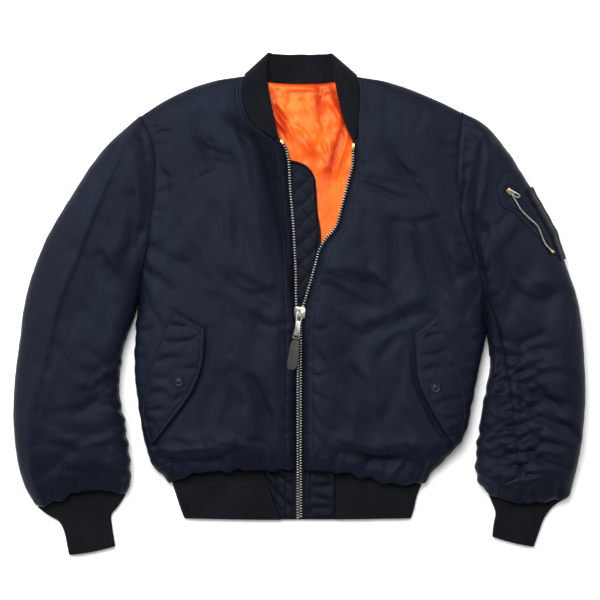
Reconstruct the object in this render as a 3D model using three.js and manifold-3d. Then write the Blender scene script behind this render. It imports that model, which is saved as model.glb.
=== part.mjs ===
// A padded bomber jacket laid flat on its back, zip half open, in millimetres.
// +Z is up from the surface, +Y runs to the collar, and the wearer's left is on +X.
import * as THREE from 'three';
import * as BufferGeometryUtils from 'three/addons/utils/BufferGeometryUtils.js';
import Module from 'manifold-3d';

const wasm = await Module();
wasm.setup();

const seamGap = 0.3;
const seamWall = 3;
const armholeGap = 1;

// Heights of the layers over the surface that the jacket lies on
const level = { body: 15, sleeve: 17, hem: 8, cuff: 8 };
const loft = { body: 19, sleeve: 25 };
const zip = {
  halfWidth: 2.3, tapeReach: 5.5, tape: 1, teethFrom: 1.3, teethTo: 4.6, clear: 0.4, edgeGap: 0.9,
};
const zipLift = { full: 7.5, none: -75, reached: -32, band: 34, fades: 60 };
const rib = { wall: 4.6, frontZ: 8, backZ: 2.75, hemBottom: -314 };
const slider = { x: 1.2, y: -12.5, halfWidth: 7.3, length: 17, under: 2, over: 7.3 };
const pull = { lean: 8.7, thickness: 1.6, hinge: 1.4, length: 38, tabLength: 46, tabSlope: 1 };

// Radii over which the padding rounds down to an edge, and how open it stays at the armholes and the collar
const round = { side: 42, zip: 28, shoulder: 38, hem: 22, sleeveSide: 46, sleeveHead: 26, cuff: 34, fold: 16 };
const roll = { body: 17, sleeve: 18 };
const open = { armhole: 0.6, collar: 0.35 };

// Outlines: each row is a point, x then y
const sideRight = [[-187, -257], [-212, -239], [-223, -210], [-232, -165], [-240, -95], [-239, -50], [-235, 1]];
const armholeRight = [[-235, 1], [-229, 42], [-220, 80], [-215, 125], [-210, 175], [-212, 230], [-231, 274]];
const sideLeft = [[182, -257], [213, -228], [241, -193], [251, -155], [263, -93], [274, -42]];
const armholeLeft = [[274, -42], [269, 5], [261, 48], [248, 88], [236, 135], [231, 185], [233, 235], [238, 279]];
const shoulderRight = [[-231, 274], [-193, 298], [-140, 321], [-79, 332]];
const shoulderLeft = [[238, 279], [199, 298], [139, 321], [84, 331]];
const collarSeamRight = [[-34, 240], [-53, 251], [-70, 267], [-80, 289], [-83, 311], [-79, 332]];
const collarSeamLeft = [[84, 240], [86, 265], [88, 290], [88, 312], [84, 331]];
const backNeck = [[-79, 332], [-47, 323], [1, 320], [50, 323], [84, 331]];
const hemSeam = [[-187, -257], [-159, -246], [-123, -240], [-54, -239], [0, -240], [60, -242],
  [95, -250], [126, -258], [155, -260], [182, -257]];
const chainRight = [[-2.1, -313.5], [-2.1, -200], [-2.1, -60], [-2.1, -24], [-4, -6], [-4.6, 10], [-5, 45],
  [-9, 121], [-13, 168], [-16, 212], [-21, 230], [-27, 239]];
const chainLeft = [[3.1, -313.5], [3.1, -200], [3.1, -60], [3.1, -24], [6, -6], [11, 11], [25, 60], [31, 81],
  [40, 95], [54, 112], [63, 142], [73, 180], [79, 206], [79, 234]];
const outerRight = [[-231, 274], [-282, 228], [-331, 158], [-371, 88], [-396, 18], [-407, -53], [-415, -123],
  [-415, -193], [-402, -263], [-384, -295]];
const innerRight = [[-235, 1], [-241, -22], [-253, -53], [-260, -88], [-262, -131], [-254, -175], [-247, -228],
  [-247, -263], [-253, -277]];
const outerLeft = [[238, 279], [269, 262], [301, 226], [345, 156], [373, 104], [385, 68], [407, 0], [415, -70],
  [417, -149], [408, -228], [396, -280]];
const innerLeft = [[274, -42], [279, -90], [270, -140], [262, -190], [258, -240], [263, -262], [276, -272]];
const cuffSeamRight = [[-384, -295], [-349, -285], [-318, -272], [-283, -270], [-253, -277]];
const cuffSeamLeft = [[276, -272], [301, -283], [330, -289], [359, -286], [396, -280]];

// Largest folds: x1, y1, x2, y2, width, height, a trough where the height is negative
const foldsFrontRight = [
  [-56, 238, -31, 179, 10, -5], [-31, 179, -20, 60, 10, -4], [-61, 223, -45, 123, 14, 4],
  [-142, 273, -124, 220, 14, -3], [-155, 279, -142, 223, 14, 3], [-124, 135, -111, 91, 12, -3],
  [-164, 145, -180, 85, 14, -3], [-99, 148, -105, 60, 16, 3], [-227, 85, -167, 60, 9, -5],
  [-230, 60, -186, 22, 9, -5], [-221, 101, -155, 84, 12, 3], [-86, 35, -36, 4, 12, -3],
  [-124, 10, -61, -28, 14, -3], [-55, -21, -61, -90, 10, -3], [-36, -15, -30, -90, 10, 3],
  [-13, -45, -15, -100, 9, -4],
  [-95, -96, -83, -146, 10, -4], [-67, -109, -42, -159, 10, -4], [-124, -134, -136, -178, 12, -3],
  [-167, -217, -117, -228, 9, -6], [-205, -215, -167, -237, 9, -6], [-86, -228, -36, -229, 9, -6],
  [-155, -197, -86, -203, 14, 4],
];
const foldsFrontLeft = [
  [95, 273, 127, 179, 14, -3], [102, 179, 177, 166, 12, -4], [189, 198, 227, 154, 14, -3],
  [142, 116, 136, 35, 10, -5], [161, 110, 180, 10, 14, 5], [95, 85, 108, 35, 10, -4], [108, 35, 133, 7, 10, -5],
  [45, 48, 114, 16, 12, 5], [42, 29, 108, -6, 10, -6], [180, -15, 108, -40, 10, -6], [170, 4, 102, -24, 12, 5],
  [108, -40, 64, -78, 10, -4], [30, -78, 58, -115, 9, -4], [89, -53, 120, -115, 14, -3],
  [127, -159, 152, -209, 12, -4], [52, -215, 127, -227, 9, -6], [127, -222, 189, -235, 9, -5],
  [64, -197, 164, -203, 14, 4], [271, 35, 239, -15, 10, -5], [264, 54, 227, 35, 10, -4],
  [252, 16, 221, -40, 12, 3],
];
const foldsSleeveRight = [
  [-286, 69, -268, 35, 9, -5], [-230, 104, -261, 35, 10, -6], [-249, 91, -286, 60, 10, 3],
  [-241, 156, -233, 81, 9, -5], [-268, -81, -302, -109, 9, -6], [-264, -109, -293, -134, 9, -6],
  [-271, -146, -318, -159, 9, -5], [-280, -93, -311, -115, 8, 4], [-318, -15, -361, -90, 16, -3],
  [-343, -53, -380, -178, 16, 3], [-261, -178, -311, -197, 9, -4], [-330, -215, -368, -247, 10, -4],
  [-280, -215, -293, -265, 10, -4],
];
const foldsSleeveLeft = [
  [258, 235, 239, 148, 10, -6], [277, 229, 258, 135, 10, 4], [271, 104, 252, 60, 10, -5],
  [308, 110, 271, 60, 12, 3],
  [333, 48, 302, -15, 14, -3], [377, 35, 346, -53, 14, -3], [339, -115, 377, -153, 9, -5],
  [343, -146, 402, -190, 9, -5], [283, -197, 318, -234, 9, -4], [339, -215, 390, -228, 9, -4],
];
// Gathers on both sides of the left sleeve's elbow seam
const gather = { x: 321, from: -55, to: -255, pitch: 20, reach: 30, rise: 12, width: 7, height: -4 };
for (let y = gather.from; y > gather.to; y -= gather.pitch) {
  foldsSleeveLeft.push([gather.x + 2, y, gather.x + gather.reach, y + gather.rise, gather.width, gather.height]);
  const inner = [gather.x - 2, y - 6, gather.x - gather.reach, y + gather.rise - 10];
  foldsSleeveLeft.push([...inner, gather.width, gather.height]);
}

const { clamp, lerp, smoothstep } = THREE.MathUtils;

// A quarter round: 0 at an edge, 1 from the radius on
function rise(distance, radius) {
  const left = 1 - clamp(distance / radius, 0, 1);
  return Math.sqrt(1 - left * left);
}

function foldHeight(folds, x, y) {
  let sum = 0;
  for (const [x1, y1, x2, y2, width, height] of folds) {
    const [dx, dy] = [x2 - x1, y2 - y1];
    const share = clamp(((x - x1) * dx + (y - y1) * dy) / (dx * dx + dy * dy), 0, 1);
    const off = Math.hypot(x - x1 - share * dx, y - y1 - share * dy);
    sum += height * Math.exp(-((off / width) ** 2));
  }
  return sum;
}

// A smooth curve through a table's rows, as a function of its share from 0 to 1
function curveThrough(rows) {
  const points = rows.map(([x, y]) => new THREE.Vector3(x, y, 0));
  const path = new THREE.CatmullRomCurve3(points, false, 'centripetal');
  path.arcLengthDivisions = 300;
  return (share) => {
    const point = path.getPointAt(clamp(share, 0, 1));
    return [point.x, point.y];
  };
}

function backwards(curve) {
  return (share) => curve(1 - share);
}

// Two curves end to end, the first up to the share given
function joined(first, second, upTo) {
  return (share) => (share <= upTo ? first(share / upTo) : second((share - upTo) / (1 - upTo)));
}

// A curve moved sideways to its left
function shifted(curve, distance) {
  return (share) => {
    const [x, y] = curve(share);
    const [ax, ay] = curve(Math.max(share - 0.004, 0));
    const [bx, by] = curve(Math.min(share + 0.004, 1));
    const length = Math.hypot(bx - ax, by - ay);
    return [x - ((by - ay) / length) * distance, y + ((bx - ax) / length) * distance];
  };
}

// The y of a table at some x, straight between its rows
function tableY(rows, x) {
  const next = Math.max(1, rows.findIndex(([rowX]) => rowX >= x));
  const [[x1, y1], [x2, y2]] = [rows[next - 1], rows[next]];
  return lerp(y1, y2, (x - x1) / (x2 - x1));
}

// A surface in plan between four edges, u from left to right and v from bottom to top
function patch({ left, right, bottom, top }) {
  return (u, v) => {
    const [l, r, b, t] = [left(v), right(v), bottom(u), top(u)];
    const corners = [left(0), right(0), left(1), right(1)];
    const at = (k) => (1 - u) * l[k] + u * r[k] + (1 - v) * b[k] + v * t[k]
      - (1 - u) * (1 - v) * corners[0][k] - u * (1 - v) * corners[1][k]
      - (1 - u) * v * corners[2][k] - u * v * corners[3][k];
    const [x, y] = [at(0), at(1)];
    const away = (point) => Math.hypot(x - point[0], y - point[1]);
    return { u, v, x, y, toLeft: away(l), toRight: away(r), toBottom: away(b), toTop: away(t) };
  };
}

function facing(positions, index) {
  const corner = (i) => new THREE.Vector3().fromArray(positions, 3 * i);
  let volume = 0;
  for (let i = 0; i < index.length; i += 3) {
    volume += corner(index[i]).dot(corner(index[i + 1]).cross(corner(index[i + 2])));
  }
  if (volume < 0) {
    for (let i = 0; i < index.length; i += 3) {
      [index[i], index[i + 1]] = [index[i + 1], index[i]];
    }
  }
  const geometry = new THREE.BufferGeometry();
  geometry.setAttribute('position', new THREE.Float32BufferAttribute(positions, 3));
  geometry.setIndex(index);
  geometry.computeVertexNormals();
  return geometry;
}

// A cloth wall over a grid of { x, y, low, high }
function slab(grid) {
  const [rows, columns] = [grid.length, grid[0].length];
  const positions = [];
  for (const layer of ['low', 'high']) {
    grid.forEach((row) => row.forEach((point) => positions.push(point.x, point.y, point[layer])));
  }
  const low = (r, c) => r * columns + c;
  const high = (r, c) => rows * columns + low(r, c);
  const index = [];
  const quad = (a, b, c, d) => index.push(a, b, c, a, c, d);
  for (let r = 0; r + 1 < rows; r += 1) {
    for (let c = 0; c + 1 < columns; c += 1) {
      quad(high(r, c), high(r, c + 1), high(r + 1, c + 1), high(r + 1, c));
      quad(low(r + 1, c), low(r + 1, c + 1), low(r, c + 1), low(r, c));
    }
  }
  for (let c = 0; c + 1 < columns; c += 1) {
    quad(low(0, c), low(0, c + 1), high(0, c + 1), high(0, c));
    quad(low(rows - 1, c + 1), low(rows - 1, c), high(rows - 1, c), high(rows - 1, c + 1));
  }
  for (let r = 0; r + 1 < rows; r += 1) {
    quad(low(r + 1, 0), low(r, 0), high(r, 0), high(r + 1, 0));
    quad(low(r, columns - 1), low(r + 1, columns - 1), high(r + 1, columns - 1), high(r, columns - 1));
  }
  return facing(positions, index);
}

// Rings of points joined one to the next, open ones closed at both ends
function loft3(rings, isClosed) {
  const count = rings[0].length;
  const positions = rings.flatMap((ring) => ring.flatMap((point) => point.toArray()));
  const index = [];
  const quad = (a, b, c, d) => index.push(a, b, c, a, c, d);
  const spans = isClosed ? rings.length : rings.length - 1;
  for (let r = 0; r < spans; r += 1) {
    const [here, next] = [r * count, ((r + 1) % rings.length) * count];
    for (let i = 0; i < count; i += 1) {
      const j = (i + 1) % count;
      quad(here + i, next + i, next + j, here + j);
    }
  }
  if (!isClosed) {
    const last = (rings.length - 1) * count;
    for (let i = 0; i + 1 < count / 2; i += 1) {
      quad(i, i + 1, count - 2 - i, count - 1 - i);
      quad(last + count - 1 - i, last + count - 2 - i, last + i + 1, last + i);
    }
  }
  return facing(positions, index);
}

// A knitted band: each station is a line of points from its seam to its free edge
function band(stations, wall, isClosed) {
  const middles = stations.map((line) => line[Math.floor(line.length / 2)]);
  const rings = stations.map((line, k) => {
    const last = stations.length - 1;
    const before = middles[k > 0 ? k - 1 : (isClosed ? last : 0)];
    const after = middles[k < last ? k + 1 : (isClosed ? 0 : last)];
    const across = line.at(-1).clone().sub(line[0]);
    const normal = across.cross(after.clone().sub(before)).normalize();
    const half = (i) => (wall / 2) * (i === 0 || i === line.length - 1 ? 0.5 : 1);
    const outer = line.map((point, i) => point.clone().addScaledVector(normal, half(i)));
    const inner = line.map((point, i) => point.clone().addScaledVector(normal, -half(i)));
    return [...outer, ...inner.reverse()];
  });
  return loft3(rings, isClosed);
}

// A strip with the section given, as rows of sideways offset and height, laid along a curve
function strip(curve, shares, section, baseAt) {
  const rings = shares.map((share) => {
    const [x, y] = curve(share);
    const base = baseAt(x, y);
    return section.map(([offset, height]) => {
      const [sx, sy] = shifted(curve, offset)(share);
      return new THREE.Vector3(sx, sy, base + height);
    });
  });
  return loft3(rings, false);
}

function evenShares(count, from = 0, to = 1) {
  return Array.from({ length: count + 1 }, (_, i) => lerp(from, to, i / count));
}

// The height of a slab's upper face at a point, or nothing where the point is off it
function heightOn(grid, x, y) {
  for (let r = 0; r + 1 < grid.length; r += 1) {
    for (let c = 0; c + 1 < grid[0].length; c += 1) {
      const quad = [grid[r][c], grid[r][c + 1], grid[r + 1][c + 1], grid[r + 1][c]];
      for (const [a, b, d] of [[quad[0], quad[1], quad[2]], [quad[0], quad[2], quad[3]]]) {
        const area = (b.x - a.x) * (d.y - a.y) - (d.x - a.x) * (b.y - a.y);
        const s = ((x - a.x) * (d.y - a.y) - (d.x - a.x) * (y - a.y)) / area;
        const t = ((b.x - a.x) * (y - a.y) - (x - a.x) * (b.y - a.y)) / area;
        if (s >= -1e-6 && t >= -1e-6 && s + t <= 1 + 1e-6) {
          return a.high + s * (b.high - a.high) + t * (d.high - a.high);
        }
      }
    }
  }
  return -Infinity;
}

// The highest point of some grids within a radius
function highest(grids, x, y, radius) {
  let found = -Infinity;
  for (const reach of [0, radius / 2, radius]) {
    for (let turn = 0; turn < 8; turn += 1) {
      const angle = (turn * Math.PI) / 4;
      const [px, py] = [x + reach * Math.cos(angle), y + reach * Math.sin(angle)];
      grids.forEach((grid) => { found = Math.max(found, heightOn(grid, px, py)); });
    }
  }
  return found;
}

function bodyMiddle(y) {
  return level.hem + (level.body - level.hem) * smoothstep(y, -252, -205);
}

function liftAt(y) {
  return zipLift.full * smoothstep(y, zipLift.none, zipLift.reached);
}

function zipBase(x, y) {
  return bodyMiddle(y) + seamGap / 2 + liftAt(y) + zip.clear;
}

const curves = {
  chainRight: curveThrough(chainRight),
  chainLeft: curveThrough(chainLeft),
};
const zipEdge = zip.tapeReach + zip.edgeGap;
const hemShare = 74 / 555;
// The zip edges of the two fronts, from the hem seam to the collar
const frontEdge = {
  right: (share) => shifted(curves.chainRight, zipEdge)(lerp(hemShare, 0.985, share)),
  left: (share) => shifted(curves.chainLeft, -zipEdge)(lerp(hemShare, 0.985, share)),
};

// A front: u from its side to its zip edge and v from the hem seam to the shoulder
function frontGrid(part) {
  const side = curveThrough(part.side);
  const armhole = curveThrough(part.armhole);
  const neck = curveThrough(part.collarSeam);
  const inner = joined(part.edge, neck, part.neckShare);
  const outer = joined(side, armhole, part.armShare);
  const [from, to] = [outer(0)[0], inner(0)[0]];
  const plan = patch({
    left: outer,
    right: inner,
    bottom: (u) => [lerp(from, to, u), tableY(hemSeam, lerp(from, to, u))],
    top: curveThrough(part.shoulder),
  });
  const columns = [0, 0.012, 0.04, 0.09, 0.16, 0.25, 0.34, 0.43, 0.52, 0.61, 0.7, 0.78, 0.85, 0.91, 0.96, 1];
  const rows = [0, 0.012, 0.035, 0.07, 0.11, 0.155, 0.2, 0.245, 0.29, 0.335, 0.38, 0.425, 0.47, 0.515, 0.56,
    0.605, 0.65, 0.695, 0.74, 0.79, 0.835, 0.88, 0.92, 0.96, 0.985, 1, ...part.rowsAtBend].sort((a, b) => a - b);
  return rows.map((v) => columns.map((u) => {
    const p = plan(u, v);
    const lift = liftAt(p.y) * (1 - smoothstep(p.toRight, zipLift.band, zipLift.fades));
    const low = bodyMiddle(p.y) + seamGap / 2 + lift;
    const atArmhole = open.armhole * smoothstep(v, part.armShare, part.armShare + 0.14);
    const atCollar = open.collar * smoothstep(v, part.neckShare, part.neckShare + 0.05);
    const puff = lerp(rise(p.toLeft, round.side), 1, atArmhole) * lerp(rise(p.toRight, round.zip), 1, atCollar)
      * rise(p.toTop, round.shoulder) * rise(p.toBottom, round.hem);
    const held = rise(Math.min(p.toLeft, p.toRight, p.toTop, p.toBottom), round.fold);
    const high = low + seamWall + (loft.body - lift) * puff + foldHeight(part.folds, p.x, p.y) * held;
    return { x: p.x, y: p.y, low, high: Math.max(high, low + seamWall) };
  }));
}

function backGrid() {
  const rightShare = 0.32;
  const leftShare = 0.67;
  const armShare = { right: 0.48, left: 0.4 };
  const shoulders = [curveThrough(shoulderRight), curveThrough(backNeck), backwards(curveThrough(shoulderLeft))];
  const plan = patch({
    left: joined(curveThrough(sideRight), curveThrough(armholeRight), armShare.right),
    right: joined(curveThrough(sideLeft), curveThrough(armholeLeft), armShare.left),
    bottom: (u) => [lerp(-187, 182, u), tableY(hemSeam, lerp(-187, 182, u))],
    top: (u) => {
      if (u < rightShare) return shoulders[0](u / rightShare);
      if (u < leftShare) return shoulders[1]((u - rightShare) / (leftShare - rightShare));
      return shoulders[2]((u - leftShare) / (1 - leftShare));
    },
  });
  const columns = [0, 0.008, 0.025, 0.05, 0.1, 0.17, 0.245, 0.32, 0.41, 0.5, 0.585, 0.67, 0.75, 0.83, 0.9,
    0.95, 0.975, 0.992, 1];
  const rows = [0, 0.03, 0.06, 0.1, 0.16, 0.23, 0.3, 0.37, 0.44, 0.51, 0.58, 0.66, 0.74, 0.82, 0.9, 0.95,
    0.98, 1];
  const edge = level.body - seamWall;
  return rows.map((v) => columns.map((u) => {
    const p = plan(u, v);
    const share = u < 0.5 ? armShare.right : armShare.left;
    const belowArmhole = 1 - smoothstep(v, share - 0.02, share + 0.06);
    const sideRoll = (1 - rise(Math.min(p.toLeft, p.toRight), roll.body)) * belowArmhole;
    const onRight = 1 - smoothstep(u, rightShare - 0.09, rightShare);
    const onLeft = smoothstep(u, leftShare, leftShare + 0.09);
    const topRoll = (1 - rise(p.toTop, roll.body)) * Math.max(onRight, onLeft);
    const middle = bodyMiddle(p.y);
    const slack = 0.9 * smoothstep(p.y, -262, -250) * (1 - smoothstep(p.y, -200, -190));
    const low = Math.max(sideRoll, topRoll) * Math.min(edge, middle - seamWall);
    return { x: p.x, y: p.y, low, high: middle - seamGap / 2 - slack };
  }));
}

// A sleeve's two pieces: u from the silhouette that the under piece wraps to the other, v from armhole to cuff
function sleeveGrids(part) {
  const plan = patch({
    left: curveThrough(part.wrapped),
    right: curveThrough(part.far),
    bottom: curveThrough(part.armhole),
    top: curveThrough(part.cuffSeam),
  });
  const rows = [0, 0.015, 0.05, 0.1, 0.155, 0.21, 0.265, 0.32, 0.375, 0.43, 0.485, 0.54, 0.595, 0.65, 0.705, 0.76,
    0.815, 0.87, 0.925, 0.965, 0.99, 1];
  const wrappedShares = [0, 0.07, 0.2, 0.4, 0.65, 0.88, 1];
  const farShares = [0, 0.05, 0.16, 0.3, 0.45, 0.6, 0.74, 0.85, 0.93, 0.98, 1];
  const shape = (u, v) => {
    const p = plan(u, v);
    const seamAt = tableY(part.seam, v);
    const middle = level.cuff + (level.sleeve - level.cuff) * (1 - smoothstep(v, 0.86, 0.99));
    const nearArmpit = part.armpitAtStart ? 1 - smoothstep(u, 0, 0.3) : smoothstep(u, 0.7, 1);
    const atArmhole = open.armhole * (1 - nearArmpit);
    const silhouettes = rise(p.toLeft, round.sleeveSide) * rise(p.toRight, round.sleeveSide);
    const puff = silhouettes * lerp(rise(p.toBottom, round.sleeveHead), 1, atArmhole) * rise(p.toTop, round.cuff);
    const held = rise(Math.min(p.toLeft, p.toRight, p.toBottom, p.toTop), round.fold);
    const width = p.toLeft + p.toRight;
    const seamDip = part.seamDip * Math.exp(-((((u - seamAt) * width) / 7) ** 2)) * held;
    const low = middle + seamGap / 2;
    const high = low + seamWall + loft.sleeve * puff + foldHeight(part.folds, p.x, p.y) * held - seamDip;
    const ground = (1 - rise(Math.min(p.toLeft, p.toRight), roll.sleeve)) * (middle - seamWall);
    return { x: p.x, y: p.y, middle, width, high: Math.max(high, low + seamWall), ground };
  };
  const under = rows.map((v) => {
    const seam = tableY(part.seam, v);
    const step = 0.25 / shape(seam, v).width;
    const wrapped = wrappedShares.map((s) => {
      const p = shape(s * seam, v);
      return { x: p.x, y: p.y, low: p.ground, high: p.high };
    });
    const hidden = farShares.map((s) => {
      const p = shape(lerp(seam + step, 1, s), v);
      return { x: p.x, y: p.y, low: p.ground, high: p.middle - seamGap / 2 };
    });
    return [...wrapped, ...hidden];
  });
  const upper = rows.map((v) => {
    const seam = tableY(part.seam, v);
    const gap = 0.8 / shape(seam, v).width;
    return farShares.map((s) => {
      const p = shape(lerp(seam + gap, 1, s), v);
      return { x: p.x, y: p.y, low: p.middle + seamGap / 2, high: p.high };
    });
  });
  return { under, upper };
}

const fronts = {
  right: frontGrid({
    side: sideRight, armhole: armholeRight, collarSeam: collarSeamRight, shoulder: shoulderRight,
    edge: frontEdge.right, folds: foldsFrontRight, neckShare: 0.82, armShare: 0.48, rowsAtBend: [],
  }),
  left: frontGrid({
    side: sideLeft, armhole: armholeLeft, collarSeam: collarSeamLeft, shoulder: shoulderLeft,
    edge: frontEdge.left, folds: foldsFrontLeft, neckShare: 0.84, armShare: 0.4, rowsAtBend: [0.583, 0.627],
  }),
};

// Moves a table's points clear of the armhole seam
function beside(rows, distance) {
  return rows.map(([x, y]) => [x + distance, y]);
}

const sleeves = {
  right: sleeveGrids({
    wrapped: outerRight, far: innerRight, armhole: beside([...armholeRight].reverse(), -armholeGap),
    cuffSeam: cuffSeamRight, folds: foldsSleeveRight, seamDip: 2, armpitAtStart: false,
    seam: [[0, 0.03], [0.15, 0.13], [0.35, 0.24], [0.55, 0.23], [0.75, 0.15], [1, 0.1]],
  }),
  left: sleeveGrids({
    wrapped: innerLeft, far: outerLeft, armhole: beside(armholeLeft, armholeGap),
    cuffSeam: cuffSeamLeft, folds: foldsSleeveLeft, seamDip: 4, armpitAtStart: true,
    seam: [[0, 0.16], [0.2, 0.22], [0.4, 0.28], [0.7, 0.36], [0.9, 0.43], [1, 0.43]],
  }),
};

// The orange lining where the open neck shows it, with its wrinkles
const lining = { wall: 1.4, mostRise: 2.4 };
const liningFolds = [
  [-44, 282, -14, 246, 6, 2.2], [-26, 308, 26, 311, 5, 1.6], [32, 300, 32, 258, 6, 1.8],
  [66, 255, 47, 200, 6, 2.2],
  [10, 290, 22, 240, 8, 1.4], [-4, 262, 14, 224, 6, 1.4], [48, 232, 44, 176, 6, 1.6], [44, 300, 62, 268, 6, 1.6],
];
const liningPlan = patch({
  left: curveThrough([[-22, 10], [-26, 100], [-30, 150], [-38, 212], [-52, 250], [-60, 296], [-64, 325]]),
  right: curveThrough([
    [22, 10], [45, 60], [62, 100], [84, 150], [96, 190], [98, 230], [90, 262], [76, 296], [66, 324],
  ]),
  bottom: curveThrough([[-22, 10], [22, 10]]),
  top: curveThrough([[-64, 325], [-40, 319.5], [1, 317.5], [45, 319.5], [66, 324]]),
});
const liningGrid = evenShares(15).map((v) => evenShares(9).map((u) => {
  const p = liningPlan(u, v);
  const low = level.body + seamGap / 2;
  const shown = smoothstep(Math.min(p.toLeft, p.toRight), 14, 26) * smoothstep(p.y + p.x / 3, 190, 214);
  const wrinkle = clamp(foldHeight(liningFolds, p.x, p.y), 0, lining.mostRise) * shown;
  return { x: p.x, y: p.y, low, high: low + lining.wall + wrinkle };
}));

// The quilted wind flap behind the zip
const windFlap = { low: 17, wall: 1.4, quilt: 2.2, pitch: 28 };
const windFlapPlan = patch({
  left: curveThrough([[-30, -25], [-30, 150], [-24, 212]]),
  right: curveThrough([[28, -25], [31, 60], [32, 105], [28, 130], [26, 160], [24, 182]]),
  bottom: curveThrough([[-30, -25], [28, -25]]),
  top: curveThrough([[-24, 212], [-2, 208], [11, 202], [19, 193], [24, 182]]),
});
const windFlapGrid = evenShares(21).map((v) => evenShares(6).map((u) => {
  const p = windFlapPlan(u, v);
  const line = (sum) => Math.abs(Math.sin((Math.PI * sum) / windFlap.pitch));
  const quilt = windFlap.quilt * Math.sqrt(line(p.x + p.y) * line(p.x - p.y));
  return { x: p.x, y: p.y, low: windFlap.low, high: windFlap.low + windFlap.wall + quilt };
}));

// Rib collar stations: seam, share along it, free edge x, y, seam height, edge height
const collarStations = [
  ['right', 0.04, -31, 244, 27, 26], ['right', 0.18, -33, 258, 27, 24], ['right', 0.36, -37, 276, 27.3, 22.6],
  ['right', 0.54, -41, 296, 27.8, 22], ['right', 0.72, -45, 318, 28, 22], ['right', 0.88, -47, 340, 27.5, 22.4],
  ['right', 0.98, -46, 356, 24, 21], ['neck', 0, -43, 366.5, 17.5, 14.5], ['neck', 0.06, -37, 366.5, 11.5, 8.5],
  ['neck', 0.2, -26, 366, 9.5, 6], ['neck', 0.36, -12, 365.5, 9, 5], ['neck', 0.5, 3, 366, 9, 5],
  ['neck', 0.64, 16, 365.5, 9, 5], ['neck', 0.8, 30, 366, 9.5, 6], ['neck', 0.94, 41, 366, 11.5, 8.5],
  ['neck', 1, 46, 365.5, 17.5, 14.5], ['left', 0.98, 49, 356, 24, 21], ['left', 0.88, 50, 340, 27.5, 22.4],
  ['left', 0.7, 54, 316, 28, 22], ['left', 0.5, 59, 291, 27.8, 22], ['left', 0.3, 66, 266, 27.3, 22.6],
  ['left', 0.14, 73, 249, 27, 24.4], ['left', 0.03, 78, 241, 27, 26],
];
const collarClear = 1.3;
const collarSeams = {
  right: shifted(curveThrough(collarSeamRight), -collarClear),
  neck: shifted(curveThrough(backNeck), 1.7),
  left: shifted(curveThrough(collarSeamLeft), collarClear),
};
const collarBulge = 1.2;
const collarLines = collarStations.map(([seam, share, edgeX, edgeY, seamZ, edgeZ]) => {
  const [x, y] = collarSeams[seam](share);
  const [from, to] = [new THREE.Vector3(x, y, seamZ), new THREE.Vector3(edgeX, edgeY, edgeZ)];
  return [0, 0.08, 0.5, 0.92, 1].map((s) => {
    const point = from.clone().lerp(to, s);
    point.z += seam === 'neck' ? 0 : collarBulge * Math.sin(Math.PI * s);
    return point;
  });
});

// Ribs lie flat and double: stations run over the front, round a side fold and along the back.
// A station's place is a share of the width there, given that width and the left edge's x.
const ribHalf = (rib.frontZ - rib.backZ) / 2;
const ribInset = rib.wall / 2 + ribHalf;
const ribRows = [0, 0.06, 0.35, 0.65, 0.94, 1];

function ribBack(count) {
  return evenShares(count).map((s) => ({
    place: (width) => lerp(ribInset, width - ribInset, s) / width, z: rib.backZ,
  }));
}

// The turn at a side, from the front layer to the back one where down is 1
function ribTurn(side, down) {
  return [0.25, 0.5, 0.75].map((turn) => {
    const out = ribHalf * Math.sin(Math.PI * turn);
    const inside = ribInset - out;
    const place = (width) => (side === 'left' ? inside : width - inside) / width;
    return { place, z: (rib.frontZ + rib.backZ) / 2 + down * ribHalf * Math.cos(Math.PI * turn) };
  });
}

function ribLines(plan, stations) {
  return stations.map(({ place, z }) => ribRows.map((s) => {
    const edge = plan(0, s);
    const p = plan(place(edge.toRight, edge.x), s);
    return new THREE.Vector3(p.x, p.y, z);
  }));
}

const hemClear = 1.4;
const placketX = { right: [-54.5, -8.2], left: [55, 9.2] };
const hemEnds = [-187, 182];
const hemPlan = patch({
  left: curveThrough([[hemEnds[0], -258], [-180, -280], [-174, -298], [-168, rib.hemBottom]]),
  right: curveThrough([[hemEnds[1], -258], [173, -280], [169, -298], [164, rib.hemBottom]]),
  bottom: (u) => [lerp(...hemEnds, u), tableY(hemSeam, lerp(...hemEnds, u)) - hemClear],
  top: curveThrough([[-168, rib.hemBottom], [-60, -316], [60, -315.5], [164, rib.hemBottom]]),
});
const ribToPlacket = 1;
const hemLines = ribLines(hemPlan, [
  ...evenShares(6).map((s) => ({
    place: (width, x) => lerp(placketX.right[0] - ribToPlacket - x, ribInset, s) / width, z: rib.frontZ,
  })),
  ...ribTurn('left', 1),
  ...ribBack(9),
  ...ribTurn('right', -1),
  ...evenShares(6).map((s) => ({
    place: (width, x) => lerp(width - ribInset, placketX.left[0] + ribToPlacket - x, s) / width, z: rib.frontZ,
  })),
]);

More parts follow.
